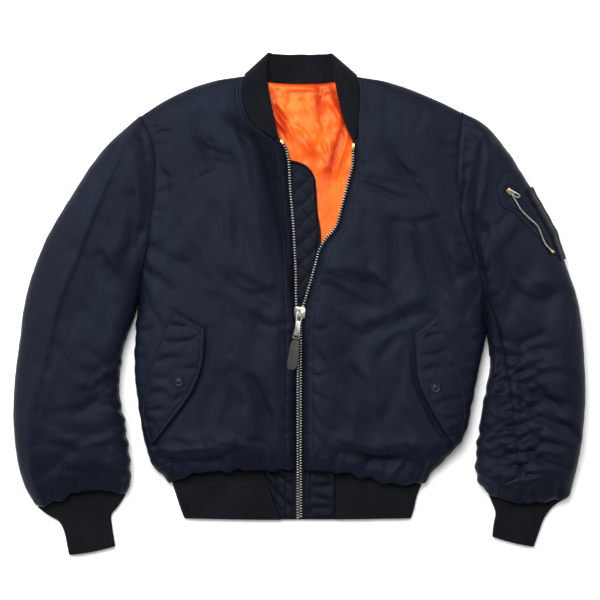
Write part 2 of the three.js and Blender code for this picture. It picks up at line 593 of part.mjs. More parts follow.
const cuffClear = 1;
function cuffLines(seam, outer, inner, end) {
  const plan = patch({ left: outer, right: inner, bottom: seam, top: end });
  return ribLines(plan, [
    ...evenShares(5).map((s) => ({
      place: (width) => lerp(width - ribInset, ribInset, s) / width, z: rib.frontZ,
    })),
    ...ribTurn('left', 1),
    ...ribBack(5),
    ...ribTurn('right', -1),
  ]);
}
const cuffs = {
  right: cuffLines(
    curveThrough(cuffSeamRight.map(([x, y]) => [x, y - cuffClear])),
    curveThrough([[-384, -296], [-369, -308], [-353, -317], [-345, -331], [-337, -368]]),
    curveThrough([[-253, -278], [-264, -295], [-275, -309], [-274, -324], [-269, -355]]),
    curveThrough([[-337, -368], [-302, -363], [-269, -355]]),
  ),
  left: cuffLines(
    curveThrough(cuffSeamLeft.map(([x, y]) => [x, y - cuffClear])),
    curveThrough([[276, -273], [283, -290], [288, -304], [285, -323], [283, -341]]),
    curveThrough([[396, -281], [376, -292], [360, -312], [352, -333], [344, -356]]),
    curveThrough([[283, -341], [314, -350], [344, -356]]),
  ),
};

// The nylon ends of the fronts beside the zip, below the hem seam
function placketGrid([outerX, innerX], folds) {
  const [low, high] = [rib.backZ + rib.wall / 2 + seamGap, rib.frontZ + rib.wall / 2];
  return [0, 0.03, 0.2, 0.4, 0.6, 0.8, 0.97, 1].map((v) => [0, 0.06, 0.3, 0.5, 0.7, 0.94, 1].map((u) => {
    const x = lerp(outerX, innerX, u);
    const y = lerp(rib.hemBottom - 0.5, tableY(hemSeam, x) - hemClear, v);
    const atEdge = u === 0 || u === 1 || v === 0 || v === 1;
    return { x, y, low, high: high - (atEdge ? 1 : 0) + (atEdge ? 0 : foldHeight(folds, x, y)) };
  }));
}
const placketFolds = [
  [-52, -250, -14, -292, 7, 2.2], [-44, -244, -12, -268, 6, -1.6], [-50, -280, -24, -308, 7, -1.4],
];

// A pocket flap lying on its front
function flapGrid(front, { outer, free, top, tip }) {
  const plan = patch({
    left: curveThrough(outer), right: curveThrough(free), bottom: curveThrough(tip), top: curveThrough(top),
  });
  return evenShares(11).map((v) => evenShares(6).map((u) => {
    const p = plan(u, v);
    const low = highest([front], p.x, p.y, 9) + seamGap;
    const atEdge = u === 0 || u === 1 || v === 0 || v === 1;
    return { x: p.x, y: p.y, low, high: low + (atEdge ? 2.2 : 3.4) };
  }));
}
const flaps = {
  right: flapGrid(fronts.right, {
    outer: [[-218, -200], [-231, -155], [-220, -105], [-207, -64], [-184, -7]],
    free: [[-212, -203], [-181, -164], [-152, -122], [-139, -80], [-137, -35]],
    top: [[-184, -7], [-160, -22], [-137, -35]],
    tip: [[-218, -200], [-212, -203]],
  }),
  left: flapGrid(fronts.left, {
    outer: [[234, -205], [245, -160], [238, -111], [221, -55], [201, -14]],
    free: [[226, -206], [207, -180], [189, -149], [173, -114], [167, -43]],
    top: [[201, -14], [184, -29], [167, -43]],
    tip: [[234, -205], [226, -206]],
  }),
};

// The zipped pocket on the left sleeve, and the strip of pen slots along its outer side
const sleevePocketPlan = patch({
  left: curveThrough([[285, 172], [293, 142], [312, 130], [334, 107], [356, 87], [367, 72]]),
  right: curveThrough([[300, 194], [328, 158], [346, 130], [362, 100], [374, 70]]),
  bottom: curveThrough([[285, 172], [300, 194]]),
  top: curveThrough([[367, 72], [374, 70]]),
});
const sleevePocketWall = 2;
const sleevePocketGrid = evenShares(10).map((v) => evenShares(5).map((u) => {
  const p = sleevePocketPlan(u, v);
  const low = highest([sleeves.left.upper], p.x, p.y, 6) + seamGap;
  return { x: p.x, y: p.y, low, high: low + sleevePocketWall };
}));
const penStripCurve = curveThrough(outerLeft);
// Rows: distance inside the silhouette, underside's height where it isn't on the sleeve, thickness
const penStripRows = [
  [-3.8, 15, 3], [-2.2, 15, 8], [-0.4, null, 2.4], [4, null, 2.4], [7, null, 2.4], [9.5, null, 2],
];
const penStripGrid = evenShares(7, 0.222, 0.345).map((share) => penStripRows.map(([inside, low, wall]) => {
  const [x, y] = shifted(penStripCurve, -inside)(share);
  const base = low ?? highest([sleeves.left.upper], x, y, 3.2) + 0.8;
  return { x, y, low: base, high: base + wall };
}));

// Zip strips: the tapes, the teeth and their stops
const tapeSection = (side) => [
  [-zip.halfWidth * side, 0], [zip.tapeReach * side, 0], [zip.tapeReach * side, zip.tape],
  [-zip.halfWidth * side, zip.tape],
];
const teethSection = [
  [-zip.halfWidth, zip.teethFrom], [zip.halfWidth, zip.teethFrom], [zip.halfWidth, 3.9], [1.5, zip.teethTo],
  [-1.5, zip.teethTo], [-zip.halfWidth, 3.9],
];
const zipShares = [...evenShares(5, 0, 0.45), ...evenShares(24, 0.475, 0.985)];
const stopShares = evenShares(2, 0.9865, 0.999);

const zipSleeve = { halfWidth: 2.1, height: 1.9 };
const sleeveChain = curveThrough([
  [308, 157], [314, 148], [321, 136], [334, 123], [345, 113], [351, 99], [357, 86], [368, 75],
]);
const sleeveChainSection = [
  [-zipSleeve.halfWidth, 0], [zipSleeve.halfWidth, 0], [zipSleeve.halfWidth, zipSleeve.height],
  [-zipSleeve.halfWidth, zipSleeve.height],
];
const sleeveChainBase = (x, y) => highest([sleevePocketGrid], x, y, 3) + seamGap;

function toSolid(geometry) {
  const plain = geometry.clone();
  plain.deleteAttribute('normal');
  plain.deleteAttribute('uv');
  const merged = BufferGeometryUtils.mergeVertices(plain, 1e-4);
  const vertProperties = new Float32Array(merged.attributes.position.array);
  const triVerts = new Uint32Array(merged.index.array);
  return new wasm.Manifold(new wasm.Mesh({ numProp: 3, vertProperties, triVerts }));
}

function toGeometry(solid) {
  const { vertProperties, triVerts } = solid.getMesh();
  const geometry = new THREE.BufferGeometry();
  geometry.setAttribute('position', new THREE.BufferAttribute(vertProperties, 3));
  geometry.setIndex(new THREE.BufferAttribute(triVerts, 1));
  geometry.computeVertexNormals();
  return geometry;
}

function outlineShape(points) {
  return new THREE.Shape(points.map(([x, y]) => new THREE.Vector2(x, y)));
}

function plate(shape, low, high, curveSegments = 6) {
  const geometry = new THREE.ExtrudeGeometry(shape, { depth: high - low, bevelEnabled: false, curveSegments });
  geometry.translate(0, 0, low);
  return geometry;
}

function block(width, length, height, x, y, z) {
  return new THREE.BoxGeometry(width, length, height).translate(x, y, z);
}

// The main slider: a shield-shaped body with channels for the teeth, and its bail
function sliderGeometry() {
  const base = zipBase(slider.x, slider.y);
  const [w, l] = [slider.halfWidth, slider.length / 2];
  const shield = outlineShape([[-w + 1.5, -l], [w - 1.5, -l], [w, -l + 1.5], [w + 1.2, l - 4], [w - 1, l],
    [1.5, l], [0, l - 1], [-1.5, l], [-w + 1, l], [-w - 1.2, l - 4], [-w, -l + 1.5]]);
  const body = plate(shield, base - slider.under, base + slider.over).translate(slider.x, slider.y, 0);
  let solid = toSolid(body);
  const room = 0.4;
  const shares = evenShares(10, 0.49, 0.62);
  for (const [curve, side] of [[curves.chainRight, 1], [curves.chainLeft, -1]]) {
    const reach = zip.halfWidth + room;
    const teeth = [[-reach, zip.teethFrom - room], [reach, zip.teethFrom - room], [reach, zip.teethTo + room],
      [-reach, zip.teethTo + room]];
    const tape = [[-reach * side, -room], [14 * side, -room], [14 * side, zip.tape + room],
      [-reach * side, zip.tape + room]];
    for (const section of [teeth, tape]) {
      solid = solid.subtract(toSolid(strip(curve, shares, section, () => base)));
    }
  }
  const top = base + slider.over;
  const bail = [
    block(1.8, 1.6, 5, slider.x, slider.y + 3.4, top + 2.3),
    block(1.8, 1.6, 5, slider.x, slider.y - 4.6, top + 2.3),
    block(1.8, 9.6, 1.5, slider.x, slider.y - 0.6, top + pull.hinge + 1.6 + 0.75),
  ];
  bail.forEach((piece) => { solid = solid.add(toSolid(piece)); });
  return toGeometry(solid);
}

// A plate of even thickness about its middle plane, with its eyes cut through
function pierced(shape, eyes, thickness) {
  const cuts = eyes.map((points) => toSolid(plate(outlineShape(points), -thickness, thickness)));
  const whole = toSolid(plate(shape, -thickness / 2, thickness / 2));
  return toGeometry(cuts.reduce((solid, cut) => solid.subtract(cut), whole));
}

// The metal pull, its hinge at the origin, lying towards -Y
function pullGeometry() {
  const half = pull.thickness / 2;
  const end = -pull.length;
  const outline = outlineShape([[-4.6, half], [4.6, half], [4.8, -2], [3.9, -14], [3.5, -20], [5, end + 3],
    [5, end], [4, end - half], [-4, end - half], [-5, end], [-5, end + 3], [-3.5, -20], [-3.9, -14], [-4.8, -2]]);
  const eyes = [
    [[-2.9, -half], [2.9, -half], [2.6, -12], [-2.6, -12]],
    [[-3.4, end + half], [3.4, end + half], [3.4, end + 4.4], [-3.4, end + 4.4]],
  ];
  return pierced(outline, eyes, pull.thickness);
}

// The tab, looped over the pull's end bar at the origin, lying towards -Y
function tabGeometry() {
  const wall = 1.3;
  const inner = pull.thickness / Math.SQRT2 + 0.35;
  const loop = new THREE.Shape().absarc(0, 0, inner + wall, 0, 2 * Math.PI);
  loop.holes.push(new THREE.Path().absarc(0, 0, inner, 0, 2 * Math.PI, true));
  const ring = new THREE.ExtrudeGeometry(loop, { depth: 5.6, bevelEnabled: false, curveSegments: 10 });
  ring.translate(0, 0, -2.8).rotateY(Math.PI / 2);
  const top = -(inner + wall) + 0.6;
  const tab = outlineShape([[-2.8, top], [2.8, top], [6, top - 4], [7, top - 14], [7, -pull.tabLength + 6],
    [5, -pull.tabLength + 1], [0, -pull.tabLength], [-5, -pull.tabLength + 1], [-7, -pull.tabLength + 6],
    [-7, top - 14], [-6, top - 4]]);
  const body = plate(tab, -1.5, 1.5);
  return toGeometry(toSolid(ring).add(toSolid(body)));
}

// The small slider of the sleeve pocket, its pull's hinge at the origin
const smallPull = { length: 17, wire: 1.2, hinge: 1.1, lean: 61, body: 3.4 };
function smallSliderGeometry() {
  const top = -smallPull.hinge;
  const shield = outlineShape([[-3, -4.6], [3, -4.6], [3.8, 3], [2.6, 4.6], [-2.6, 4.6], [-3.8, 3]]);
  const body = plate(shield, top - smallPull.body, top);
  const pieces = [
    block(1.4, 1.3, 3.6, 0, 2.2, top + 1.6),
    block(1.4, 1.3, 3.6, 0, -2.2, top + 1.6),
    block(1.4, 5.7, 1.2, 0, 0, top + 2.9),
  ];
  return toGeometry(pieces.reduce((solid, piece) => solid.add(toSolid(piece)), toSolid(body)));
}

function smallPullGeometry() {
  const half = smallPull.wire / 2;
  const end = -smallPull.length;
  const outline = outlineShape([
    [-3.2, half], [3.2, half], [3.2, end + 2], [1.8, end], [-1.8, end], [-3.2, end + 2],
  ]);
  const eyes = [
    [[-1.9, -half], [1.9, -half], [1.9, -5.5], [-1.9, -5.5]],
    [[-1.7, -7.5], [1.7, -7.5], [1.7, end + 3.2], [-1.7, end + 3.2]],
  ];
  return pierced(outline, eyes, smallPull.wire);
}

function snapGeometry() {
  const profile = [[0, 0], [8, 0], [8, 1.3], [7, 2.3], [5.6, 1.9], [0, 1.9]];
  return new THREE.LatheGeometry(profile.map(([r, z]) => new THREE.Vector2(r, z)), 20).rotateX(Math.PI / 2);
}

const finish = {
  nylon: { color: 0x242836, roughness: 0.45 },
  rib: { color: 0x1d1f26, roughness: 0.95 },
  lining: { color: 0xff6e28, roughness: 0.4 },
  metal: { color: 0xb9b9b4, roughness: 0.35, metalness: 0.9 },
  tape: { color: 0x15171e, roughness: 0.9 },
  leather: { color: 0x3d3d3d, roughness: 0.6 },
};

function piece(name, geometry, look) {
  const mesh = new THREE.Mesh(geometry, new THREE.MeshStandardMaterial(look));
  mesh.name = name;
  return mesh;
}

const jacket = new THREE.Group();
jacket.add(
  piece('back', slab(backGrid()), finish.nylon),
  piece('front_right', slab(fronts.right), finish.nylon),
  piece('front_left', slab(fronts.left), finish.nylon),
  piece('sleeve_right_upper', slab(sleeves.right.upper), finish.nylon),
  piece('sleeve_right_under', slab(sleeves.right.under), finish.nylon),
  piece('sleeve_left_upper', slab(sleeves.left.upper), finish.nylon),
  piece('sleeve_left_under', slab(sleeves.left.under), finish.nylon),
  piece('lining_back', slab(liningGrid), finish.lining),
  piece('wind_flap', slab(windFlapGrid), finish.nylon),
  piece('collar', band(collarLines, rib.wall, false), finish.rib),
  piece('hem_rib', band(hemLines, rib.wall, false), finish.rib),
  piece('cuff_right', band(cuffs.right, rib.wall, true), finish.rib),
  piece('cuff_left', band(cuffs.left, rib.wall, true), finish.rib),
  piece('placket_right', slab(placketGrid(placketX.right, placketFolds)), finish.nylon),
  piece('placket_left', slab(placketGrid(placketX.left, [])), finish.nylon),
  piece('pocket_flap_right', slab(flaps.right), finish.nylon),
  piece('pocket_flap_left', slab(flaps.left), finish.nylon),
  piece('sleeve_pocket', slab(sleevePocketGrid), finish.nylon),
  piece('pen_strip', slab(penStripGrid), finish.nylon),
);

for (const [side, curve, sign] of [['right', curves.chainRight, 1], ['left', curves.chainLeft, -1]]) {
  jacket.add(
    piece(`zip_tape_${side}`, strip(curve, zipShares, tapeSection(sign), zipBase), finish.tape),
    piece(`zip_teeth_${side}`, strip(curve, zipShares, teethSection, zipBase), finish.metal),
    piece(`zip_stop_${side}`, strip(curve, stopShares, teethSection, zipBase), finish.metal),
  );
}

for (const [side, x, y] of [['right', -174, -112], ['left', 197, -121]]) {
  const snap = piece(`snap_${side}`, snapGeometry(), finish.metal);
  snap.position.set(x, y, highest([flaps[side]], x, y, 8) + seamGap);
  jacket.add(snap);
}

const hinge = new THREE.Group();
hinge.position.set(slider.x, slider.y, zipBase(slider.x, slider.y) + slider.over + pull.hinge);
hinge.rotation.z = -THREE.MathUtils.degToRad(pull.lean);
const tab = piece('pull_tab', tabGeometry(), finish.leather);
tab.position.set(0, -pull.length, 0);
tab.rotation.x = THREE.MathUtils.degToRad(pull.tabSlope);
hinge.add(piece('zip_pull', pullGeometry(), finish.metal), tab);
jacket.add(piece('zip_slider', sliderGeometry(), finish.metal), hinge);

const sleeveSlider = new THREE.Group();
const sliderAt = [304, 162.5];
const sliderBase = highest([sleevePocketGrid], ...sliderAt, 5) + seamGap;
sleeveSlider.position.set(...sliderAt, sliderBase + smallPull.body + smallPull.hinge);
const sleeveBody = piece('sleeve_zip_slider', smallSliderGeometry(), finish.metal);
sleeveBody.rotation.z = THREE.MathUtils.degToRad(37);
const sleevePull = piece('sleeve_zip_pull', smallPullGeometry(), finish.metal);
sleevePull.rotation.z = THREE.MathUtils.degToRad(smallPull.lean);
sleeveSlider.add(sleeveBody, sleevePull);
const sleeveZip = strip(sleeveChain, evenShares(14), sleeveChainSection, sleeveChainBase);
jacket.add(sleeveSlider, piece('sleeve_zip', sleeveZip, finish.metal));

export default jacket;
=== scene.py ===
# A padded bomber jacket laid flat on its back, zip half open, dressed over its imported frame.
# Sizes in the tables are in mm, +Y runs to the collar and the wearer's left is on +X.
import math
import random

import bmesh
import bpy
import numpy as np
from mathutils import Matrix, Vector, noise
from mathutils.bvhtree import BVHTree


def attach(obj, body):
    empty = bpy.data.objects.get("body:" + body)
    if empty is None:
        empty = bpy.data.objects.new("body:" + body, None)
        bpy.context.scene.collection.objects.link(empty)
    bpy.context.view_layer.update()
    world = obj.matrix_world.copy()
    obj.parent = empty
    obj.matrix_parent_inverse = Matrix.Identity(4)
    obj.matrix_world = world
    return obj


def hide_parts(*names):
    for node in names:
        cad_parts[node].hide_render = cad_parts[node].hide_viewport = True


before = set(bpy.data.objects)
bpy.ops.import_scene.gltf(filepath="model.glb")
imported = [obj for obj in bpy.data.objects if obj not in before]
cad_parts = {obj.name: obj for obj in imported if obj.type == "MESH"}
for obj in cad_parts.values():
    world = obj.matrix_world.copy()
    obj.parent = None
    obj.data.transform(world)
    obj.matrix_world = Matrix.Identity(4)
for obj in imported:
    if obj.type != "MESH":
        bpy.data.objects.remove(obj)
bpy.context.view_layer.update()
mm = 0.001
scene = bpy.context.scene
print("frame loaded")

camera = {"centre": (1.46, 5.84), "plane": 17, "away": 3000, "across": 876}
studio = {
    "world": 0.5,
    "floor": (0.97, 0.97, 0.97),
    "lights": [
        # name, place in metres, size, watts, colour
        ("overhead", (-0.5, 1.1, 2.3), 1.9, 92, (1.0, 1.0, 1.0)),
        ("left", (-2.1, 0.6, 1.0), 0.9, 17, (0.93, 0.96, 1.0)),
        ("right", (2.0, 0.6, 1.0), 0.8, 11, (0.9, 0.95, 1.0)),
    ],
}


def addCamera():
    data = bpy.data.cameras.new("camera")
    data.sensor_width = 36
    data.lens = data.sensor_width * camera["away"] / camera["across"]
    cameraObject = bpy.data.objects.new("camera", data)
    x, y = camera["centre"]
    cameraObject.location = (x * mm, y * mm, (camera["plane"] + camera["away"]) * mm)
    scene.collection.objects.link(cameraObject)
    scene.camera = cameraObject


def addStudio():
    scene.view_settings.view_transform = "Standard"
    world = bpy.data.worlds.new("studio")
    world.use_nodes = True
    world.node_tree.nodes["Background"].inputs["Color"].default_value = (1, 1, 1, 1)
    world.node_tree.nodes["Background"].inputs["Strength"].default_value = studio["world"]
    scene.world = world
    for name, place, size, watts, colour in studio["lights"]:
        light = bpy.data.lights.new(name, "AREA")
        light.shape = "DISK"
        light.size = size
        light.energy = watts
        light.color = colour
        lamp = bpy.data.objects.new(name, light)
        lamp.location = place
        lamp.rotation_euler = (-Vector(place)).to_track_quat("-Z", "Y").to_euler()
        scene.collection.objects.link(lamp)
    bm = bmesh.new()
    bmesh.ops.create_grid(bm, x_segments=1, y_segments=1, size=6)
    mesh = bpy.data.meshes.new("floor")
    bm.to_mesh(mesh)
    bm.free()
    floor = bpy.data.objects.new("floor", mesh)
    material = bpy.data.materials.new("floor")
    material.use_nodes = True
    shader = material.node_tree.nodes["Principled BSDF"]
    shader.inputs["Base Color"].default_value = (*studio["floor"], 1)
    shader.inputs["Roughness"].default_value = 0.9
    mesh.materials.append(material)
    scene.collection.objects.link(floor)


addCamera()
addStudio()
print("camera and studio ready")


# Curves and surfaces in plan, with arrays of shares from 0 to 1
def smoothStep(value, low, high):
    share = np.clip((value - low) / (high - low), 0, 1)
    return share * share * (3 - 2 * share)


def rise(distance, radius):
    left = 1 - np.clip(distance / radius, 0, 1)
    return np.sqrt(1 - left * left)


def curveThrough(rows, byRow=False):
    points = np.array(rows, float)
    points = np.vstack([2 * points[0] - points[1], points, 2 * points[-1] - points[-2]])
    local = np.linspace(0, 1, 40, endpoint=False)[:, None]
    samples = []
    for p0, p1, p2, p3 in zip(points, points[1:], points[2:], points[3:]):
        gaps = [max(np.linalg.norm(b - a), 1e-4) ** 0.5 for a, b in ((p0, p1), (p1, p2), (p2, p3))]
        leave = ((p1 - p0) / gaps[0] - (p2 - p0) / (gaps[0] + gaps[1]) + (p2 - p1) / gaps[1]) * gaps[1]
        reach = ((p2 - p1) / gaps[1] - (p3 - p1) / (gaps[1] + gaps[2]) + (p3 - p2) / gaps[2]) * gaps[1]
        square = 3 * (p2 - p1) - 2 * leave - reach
        cube = 2 * (p1 - p2) + leave + reach
        samples.append(p1 + leave * local + square * local ** 2 + cube * local ** 3)
    samples = np.vstack([*samples, points[-2:-1]])
    steps = np.linalg.norm(np.diff(samples, axis=0), axis=1)
    along = np.concatenate([[0], np.cumsum(steps)])
    if byRow:
        along = np.arange(len(samples), dtype=float)
    along /= along[-1]

    def curve(share):
        return np.stack([np.interp(share, along, column) for column in samples.T], -1)
    return curve


def joined(first, second, upTo):
    def curve(share):
        share = np.asarray(share, float)
        isFirst = (share <= upTo)[..., None]
        return np.where(isFirst, first(share / upTo), second((share - upTo) / (1 - upTo)))
    return curve


def backwards(curve):
    return lambda share: curve(1 - np.asarray(share, float))


def shifted(curve, distance):
    def moved(share):
        share = np.clip(np.asarray(share, float), 0, 1)
        step = curve(np.minimum(share + 0.004, 1)) - curve(np.maximum(share - 0.004, 0))
        step /= np.linalg.norm(step, axis=-1, keepdims=True)
        return curve(share) + np.stack([-step[..., 1], step[..., 0]], -1) * distance
    return moved


def alongTable(rows, position):
    return np.interp(position, [row[0] for row in rows], [row[1] for row in rows])


# A Coons patch: its points, and how far each is from the left, right, bottom and top edge
def patch(left, right, bottom, top):
    corners = [left(0.0), right(0.0), left(1.0), right(1.0)]

    def plan(u, v):
        u, v = np.broadcast_arrays(np.asarray(u, float), np.asarray(v, float))
        edges = [left(v), right(v), bottom(u), top(u)]
        a, b = u[..., None], v[..., None]
        spot = (1 - a) * edges[0] + a * edges[1] + (1 - b) * edges[2] + b * edges[3]
        spot = spot - (1 - a) * (1 - b) * corners[0] - a * (1 - b) * corners[1]
        spot = spot - (1 - a) * b * corners[2] - a * b * corners[3]
        away = [np.linalg.norm(spot - edge, axis=-1) for edge in edges]
        return spot[..., 0], spot[..., 1], away
    return plan


# Folds are steeper on one side than on the other
def uneven(across, width):
    return across / (width * np.where(across > 0, 0.62, 1.5))


# Large soft folds, as in the frame: x1, y1, x2, y2, width, height
def foldHeight(folds, x, y):
    total = np.zeros_like(x)
    for x1, y1, x2, y2, width, height in folds:
        dx, dy = x2 - x1, y2 - y1
        length = math.hypot(dx, dy)
        along = ((x - x1) * dx + (y - y1) * dy) / length ** 2
        share = np.clip(along, 0, 1)
        across = ((y - y1) * dx - (x - x1) * dy) / length
        beyond = (along - share) * length / width
        total += height * np.exp(-(uneven(across, width) ** 2) - beyond ** 2)
    return total


# Long curved folds: points, width and height
def curvedHeight(folds, x, y):
    total = np.zeros_like(x)
    for rows, width, height in folds:
        curve = curveThrough(rows)
        spots = curve(np.linspace(0, 1, 60))
        steps = np.gradient(spots, axis=0)
        steps /= np.linalg.norm(steps, axis=1, keepdims=True)
        box = [(spots[:, axis].min() - 4 * width, spots[:, axis].max() + 4 * width) for axis in (0, 1)]
        near = (x > box[0][0]) & (x < box[0][1]) & (y > box[1][0]) & (y < box[1][1])
        px, py = x[near][:, None] - spots[None, :, 0], y[near][:, None] - spots[None, :, 1]
        away = np.hypot(px, py)
        closest = away.argmin(1)
        row = np.arange(len(closest))
        dx, dy = steps[closest, 0], steps[closest, 1]
        side = np.sign(py[row, closest] * dx - px[row, closest] * dy)
        taper = 0.25 + 0.75 * np.sin(math.pi * np.clip(closest / 59, 0.04, 0.96)) ** 0.6
        total[near] += height * taper * np.exp(-(uneven(side * away[row, closest], width) ** 2))
    return total


# Finer creases: x1, y1, x2, y2, bend, width, height; each has a soft counter fold on its left
def creaseHeight(creases, x, y):
    total = np.zeros_like(x)
    for x1, y1, x2, y2, bend, width, height in creases:
        dx, dy = x2 - x1, y2 - y1
        length = math.hypot(dx, dy)
        reach = length / 2 + abs(bend) + 4 * width
        near = np.hypot(x - (x1 + x2) / 2, y - (y1 + y2) / 2) < reach
        px, py = x[near] - x1, y[near] - y1
        along = (px * dx + py * dy) / length ** 2
        share = np.clip(along, 0, 1)
        across = (py * dx - px * dy) / length - bend * 4 * share * (1 - share)
        beyond = (along - share) * length
        taper = 0.3 + 0.7 * np.sin(math.pi * share)
        line = np.exp(-(uneven(across, width) ** 2) - (beyond / width) ** 2)
        beside = np.exp(-(((across - 2 * width) / (1.4 * width)) ** 2) - (beyond / width) ** 2)
        total[near] += height * taper * (line - 0.45 * beside)
    return total


def crumple(x, y, scales, seed):
    flat = [noise.noise(Vector((a, b, seed))) for a, b in zip((x / scales[0]).ravel(), (y / scales[1]).ravel())]
    return np.array(flat).reshape(x.shape)


# Smooth planes that meet in soft creases
def faceted(x, y, scales, seed):
    return 2 * np.sqrt(crumple(x, y, scales, seed) ** 2 + 0.0016)


# Rows of short puckers that leave a seam, uneven in place, length, turn and depth
def puckers(curve, side, settings, seed):
    chance = random.Random(seed)
    rows = []
    share = settings["from"]
    while share < settings["to"]:
        here = curve(share)
        step = curve(min(share + 0.01, 1)) - curve(max(share - 0.01, 0))
        angle = math.atan2(step[1], step[0]) + side * (math.pi / 2) + chance.uniform(-1, 1) * settings["turn"]
        length = settings["length"] * chance.uniform(0.45, 1.35)
        x, y = here[0] + 1.5 * math.cos(angle), here[1] + 1.5 * math.sin(angle)
        width = settings["width"] * chance.uniform(0.7, 1.3)
        height = -settings["height"] * chance.uniform(0.4, 1.4)
        bend = length * chance.uniform(-0.12, 0.12)
        rows.append((x, y, x + length * math.cos(angle), y + length * math.sin(angle), bend, width, height))
        share += settings["pitch"] * chance.uniform(0.6, 1.5)
    return rows


def crowded(count, crowd=0.72):
    share = np.linspace(0, 1, count + 1)
    return share - crowd * np.sin(2 * math.pi * share) / (2 * math.pi)


# Adds a row or column again at each edge, brought down to the height given there
def turnedDown(points, low):
    points = np.pad(points, ((1, 1), (1, 1), (0, 0)), mode="edge")
    low = np.pad(low, 1, mode="edge")
    points[0, :, 2], points[-1, :, 2] = low[0], low[-1]
    points[:, 0, 2], points[:, -1, 2] = low[:, 0], low[:, -1]
    return points


# A mesh over rows and columns of points, with a UV map that measures the cloth in metres
def gridMesh(name, points, upAt=(0.5, 0.5), isClosed=False):
    rows, columns = points.shape[:2]
    bm = bmesh.new()
    bmesh.ops.create_grid(bm, x_segments=columns - 1, y_segments=rows - 1, size=0.5)
    mesh = bpy.data.meshes.new(name)
    bm.to_mesh(mesh)
    bm.free()
    places = np.zeros(len(mesh.vertices) * 3)
    mesh.vertices.foreach_get("co", places)
    places = places.reshape(-1, 3) + 0.5
    column = np.rint(places[:, 0] * (columns - 1)).astype(int)
    row = np.rint(places[:, 1] * (rows - 1)).astype(int)
    mesh.vertices.foreach_set("co", (points[row, column] * mm).ravel())
    acrossSteps = np.linalg.norm(np.diff(points, axis=1), axis=2).mean(0)
    alongSteps = np.linalg.norm(np.diff(points, axis=0), axis=2).mean(1)
    across = np.concatenate([[0], np.cumsum(acrossSteps)]) * mm
    along = np.concatenate([[0], np.cumsum(alongSteps)]) * mm
    corner = np.zeros(len(mesh.loops), int)
    mesh.loops.foreach_get("vertex_index", corner)
    layer = mesh.uv_layers.new(name="cloth")
    layer.data.foreach_set("uv", np.stack([across[column[corner]], along[row[corner]]], -1).ravel())
    r = min(int(upAt[0] * rows), rows - 2)
    c = min(int(upAt[1] * columns), columns - 2)
    du, dv = points[r, c + 1] - points[r, c], points[r + 1, c] - points[r, c]
    if du[0] * dv[1] - du[1] * dv[0] < 0:
        mesh.flip_normals()
    if isClosed:
        bm = bmesh.new()
        bm.from_mesh(mesh)
        bmesh.ops.remove_doubles(bm, verts=bm.verts, dist=1e-6)
        bmesh.ops.holes_fill(bm, edges=[edge for edge in bm.edges if edge.is_boundary], sides=0)
        bmesh.ops.recalc_face_normals(bm, faces=bm.faces)
        bm.to_mesh(mesh)
        bm.free()
    mesh.update()
    return mesh


def place(name, mesh, look, body="jacket", replaces=(), slot=None):
    piece = bpy.data.objects.new(name, mesh)
    scene.collection.objects.link(piece)
    mesh.materials.clear()
    mesh.materials.append(look)
    mesh.shade_smooth()
    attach(piece, body)
    if replaces:
        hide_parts(*replaces)
    slot or slots[look.name]
    return piece


# Each point's amount of painted shade, which its material reads to darken the colour
def marked(mesh, paintedShadeOf):
    spots = np.zeros(len(mesh.vertices) * 3)
    mesh.vertices.foreach_get("co", spots)
    paintedShade = mesh.attributes.new("paintedShade", "FLOAT", "POINT")
    paintedShade.data.foreach_set("value", paintedShadeOf(spots.reshape(-1, 3) / mm))
    return mesh


def thicken(piece, wall, offset=-1):
    solid = piece.modifiers.new("wall", "SOLIDIFY")
    solid.thickness = wall * mm
    solid.offset = offset
    return piece


def treeOver(piece):
    return BVHTree.FromObject(piece, bpy.context.evaluated_depsgraph_get())


def heightAt(trees, x, y, otherwise):
    found = [tree.ray_cast(Vector((x * mm, y * mm, 0.3)), Vector((0, 0, -1)))[0] for tree in trees]
    heights = [hit.z / mm for hit in found if hit]
    return max(heights) if heights else otherwise


def heightsAt(trees, x, y, otherwise):
    flat = [heightAt(trees, a, b, otherwise) for a, b in zip(x.ravel(), y.ravel())]
    return np.array(flat).reshape(x.shape)


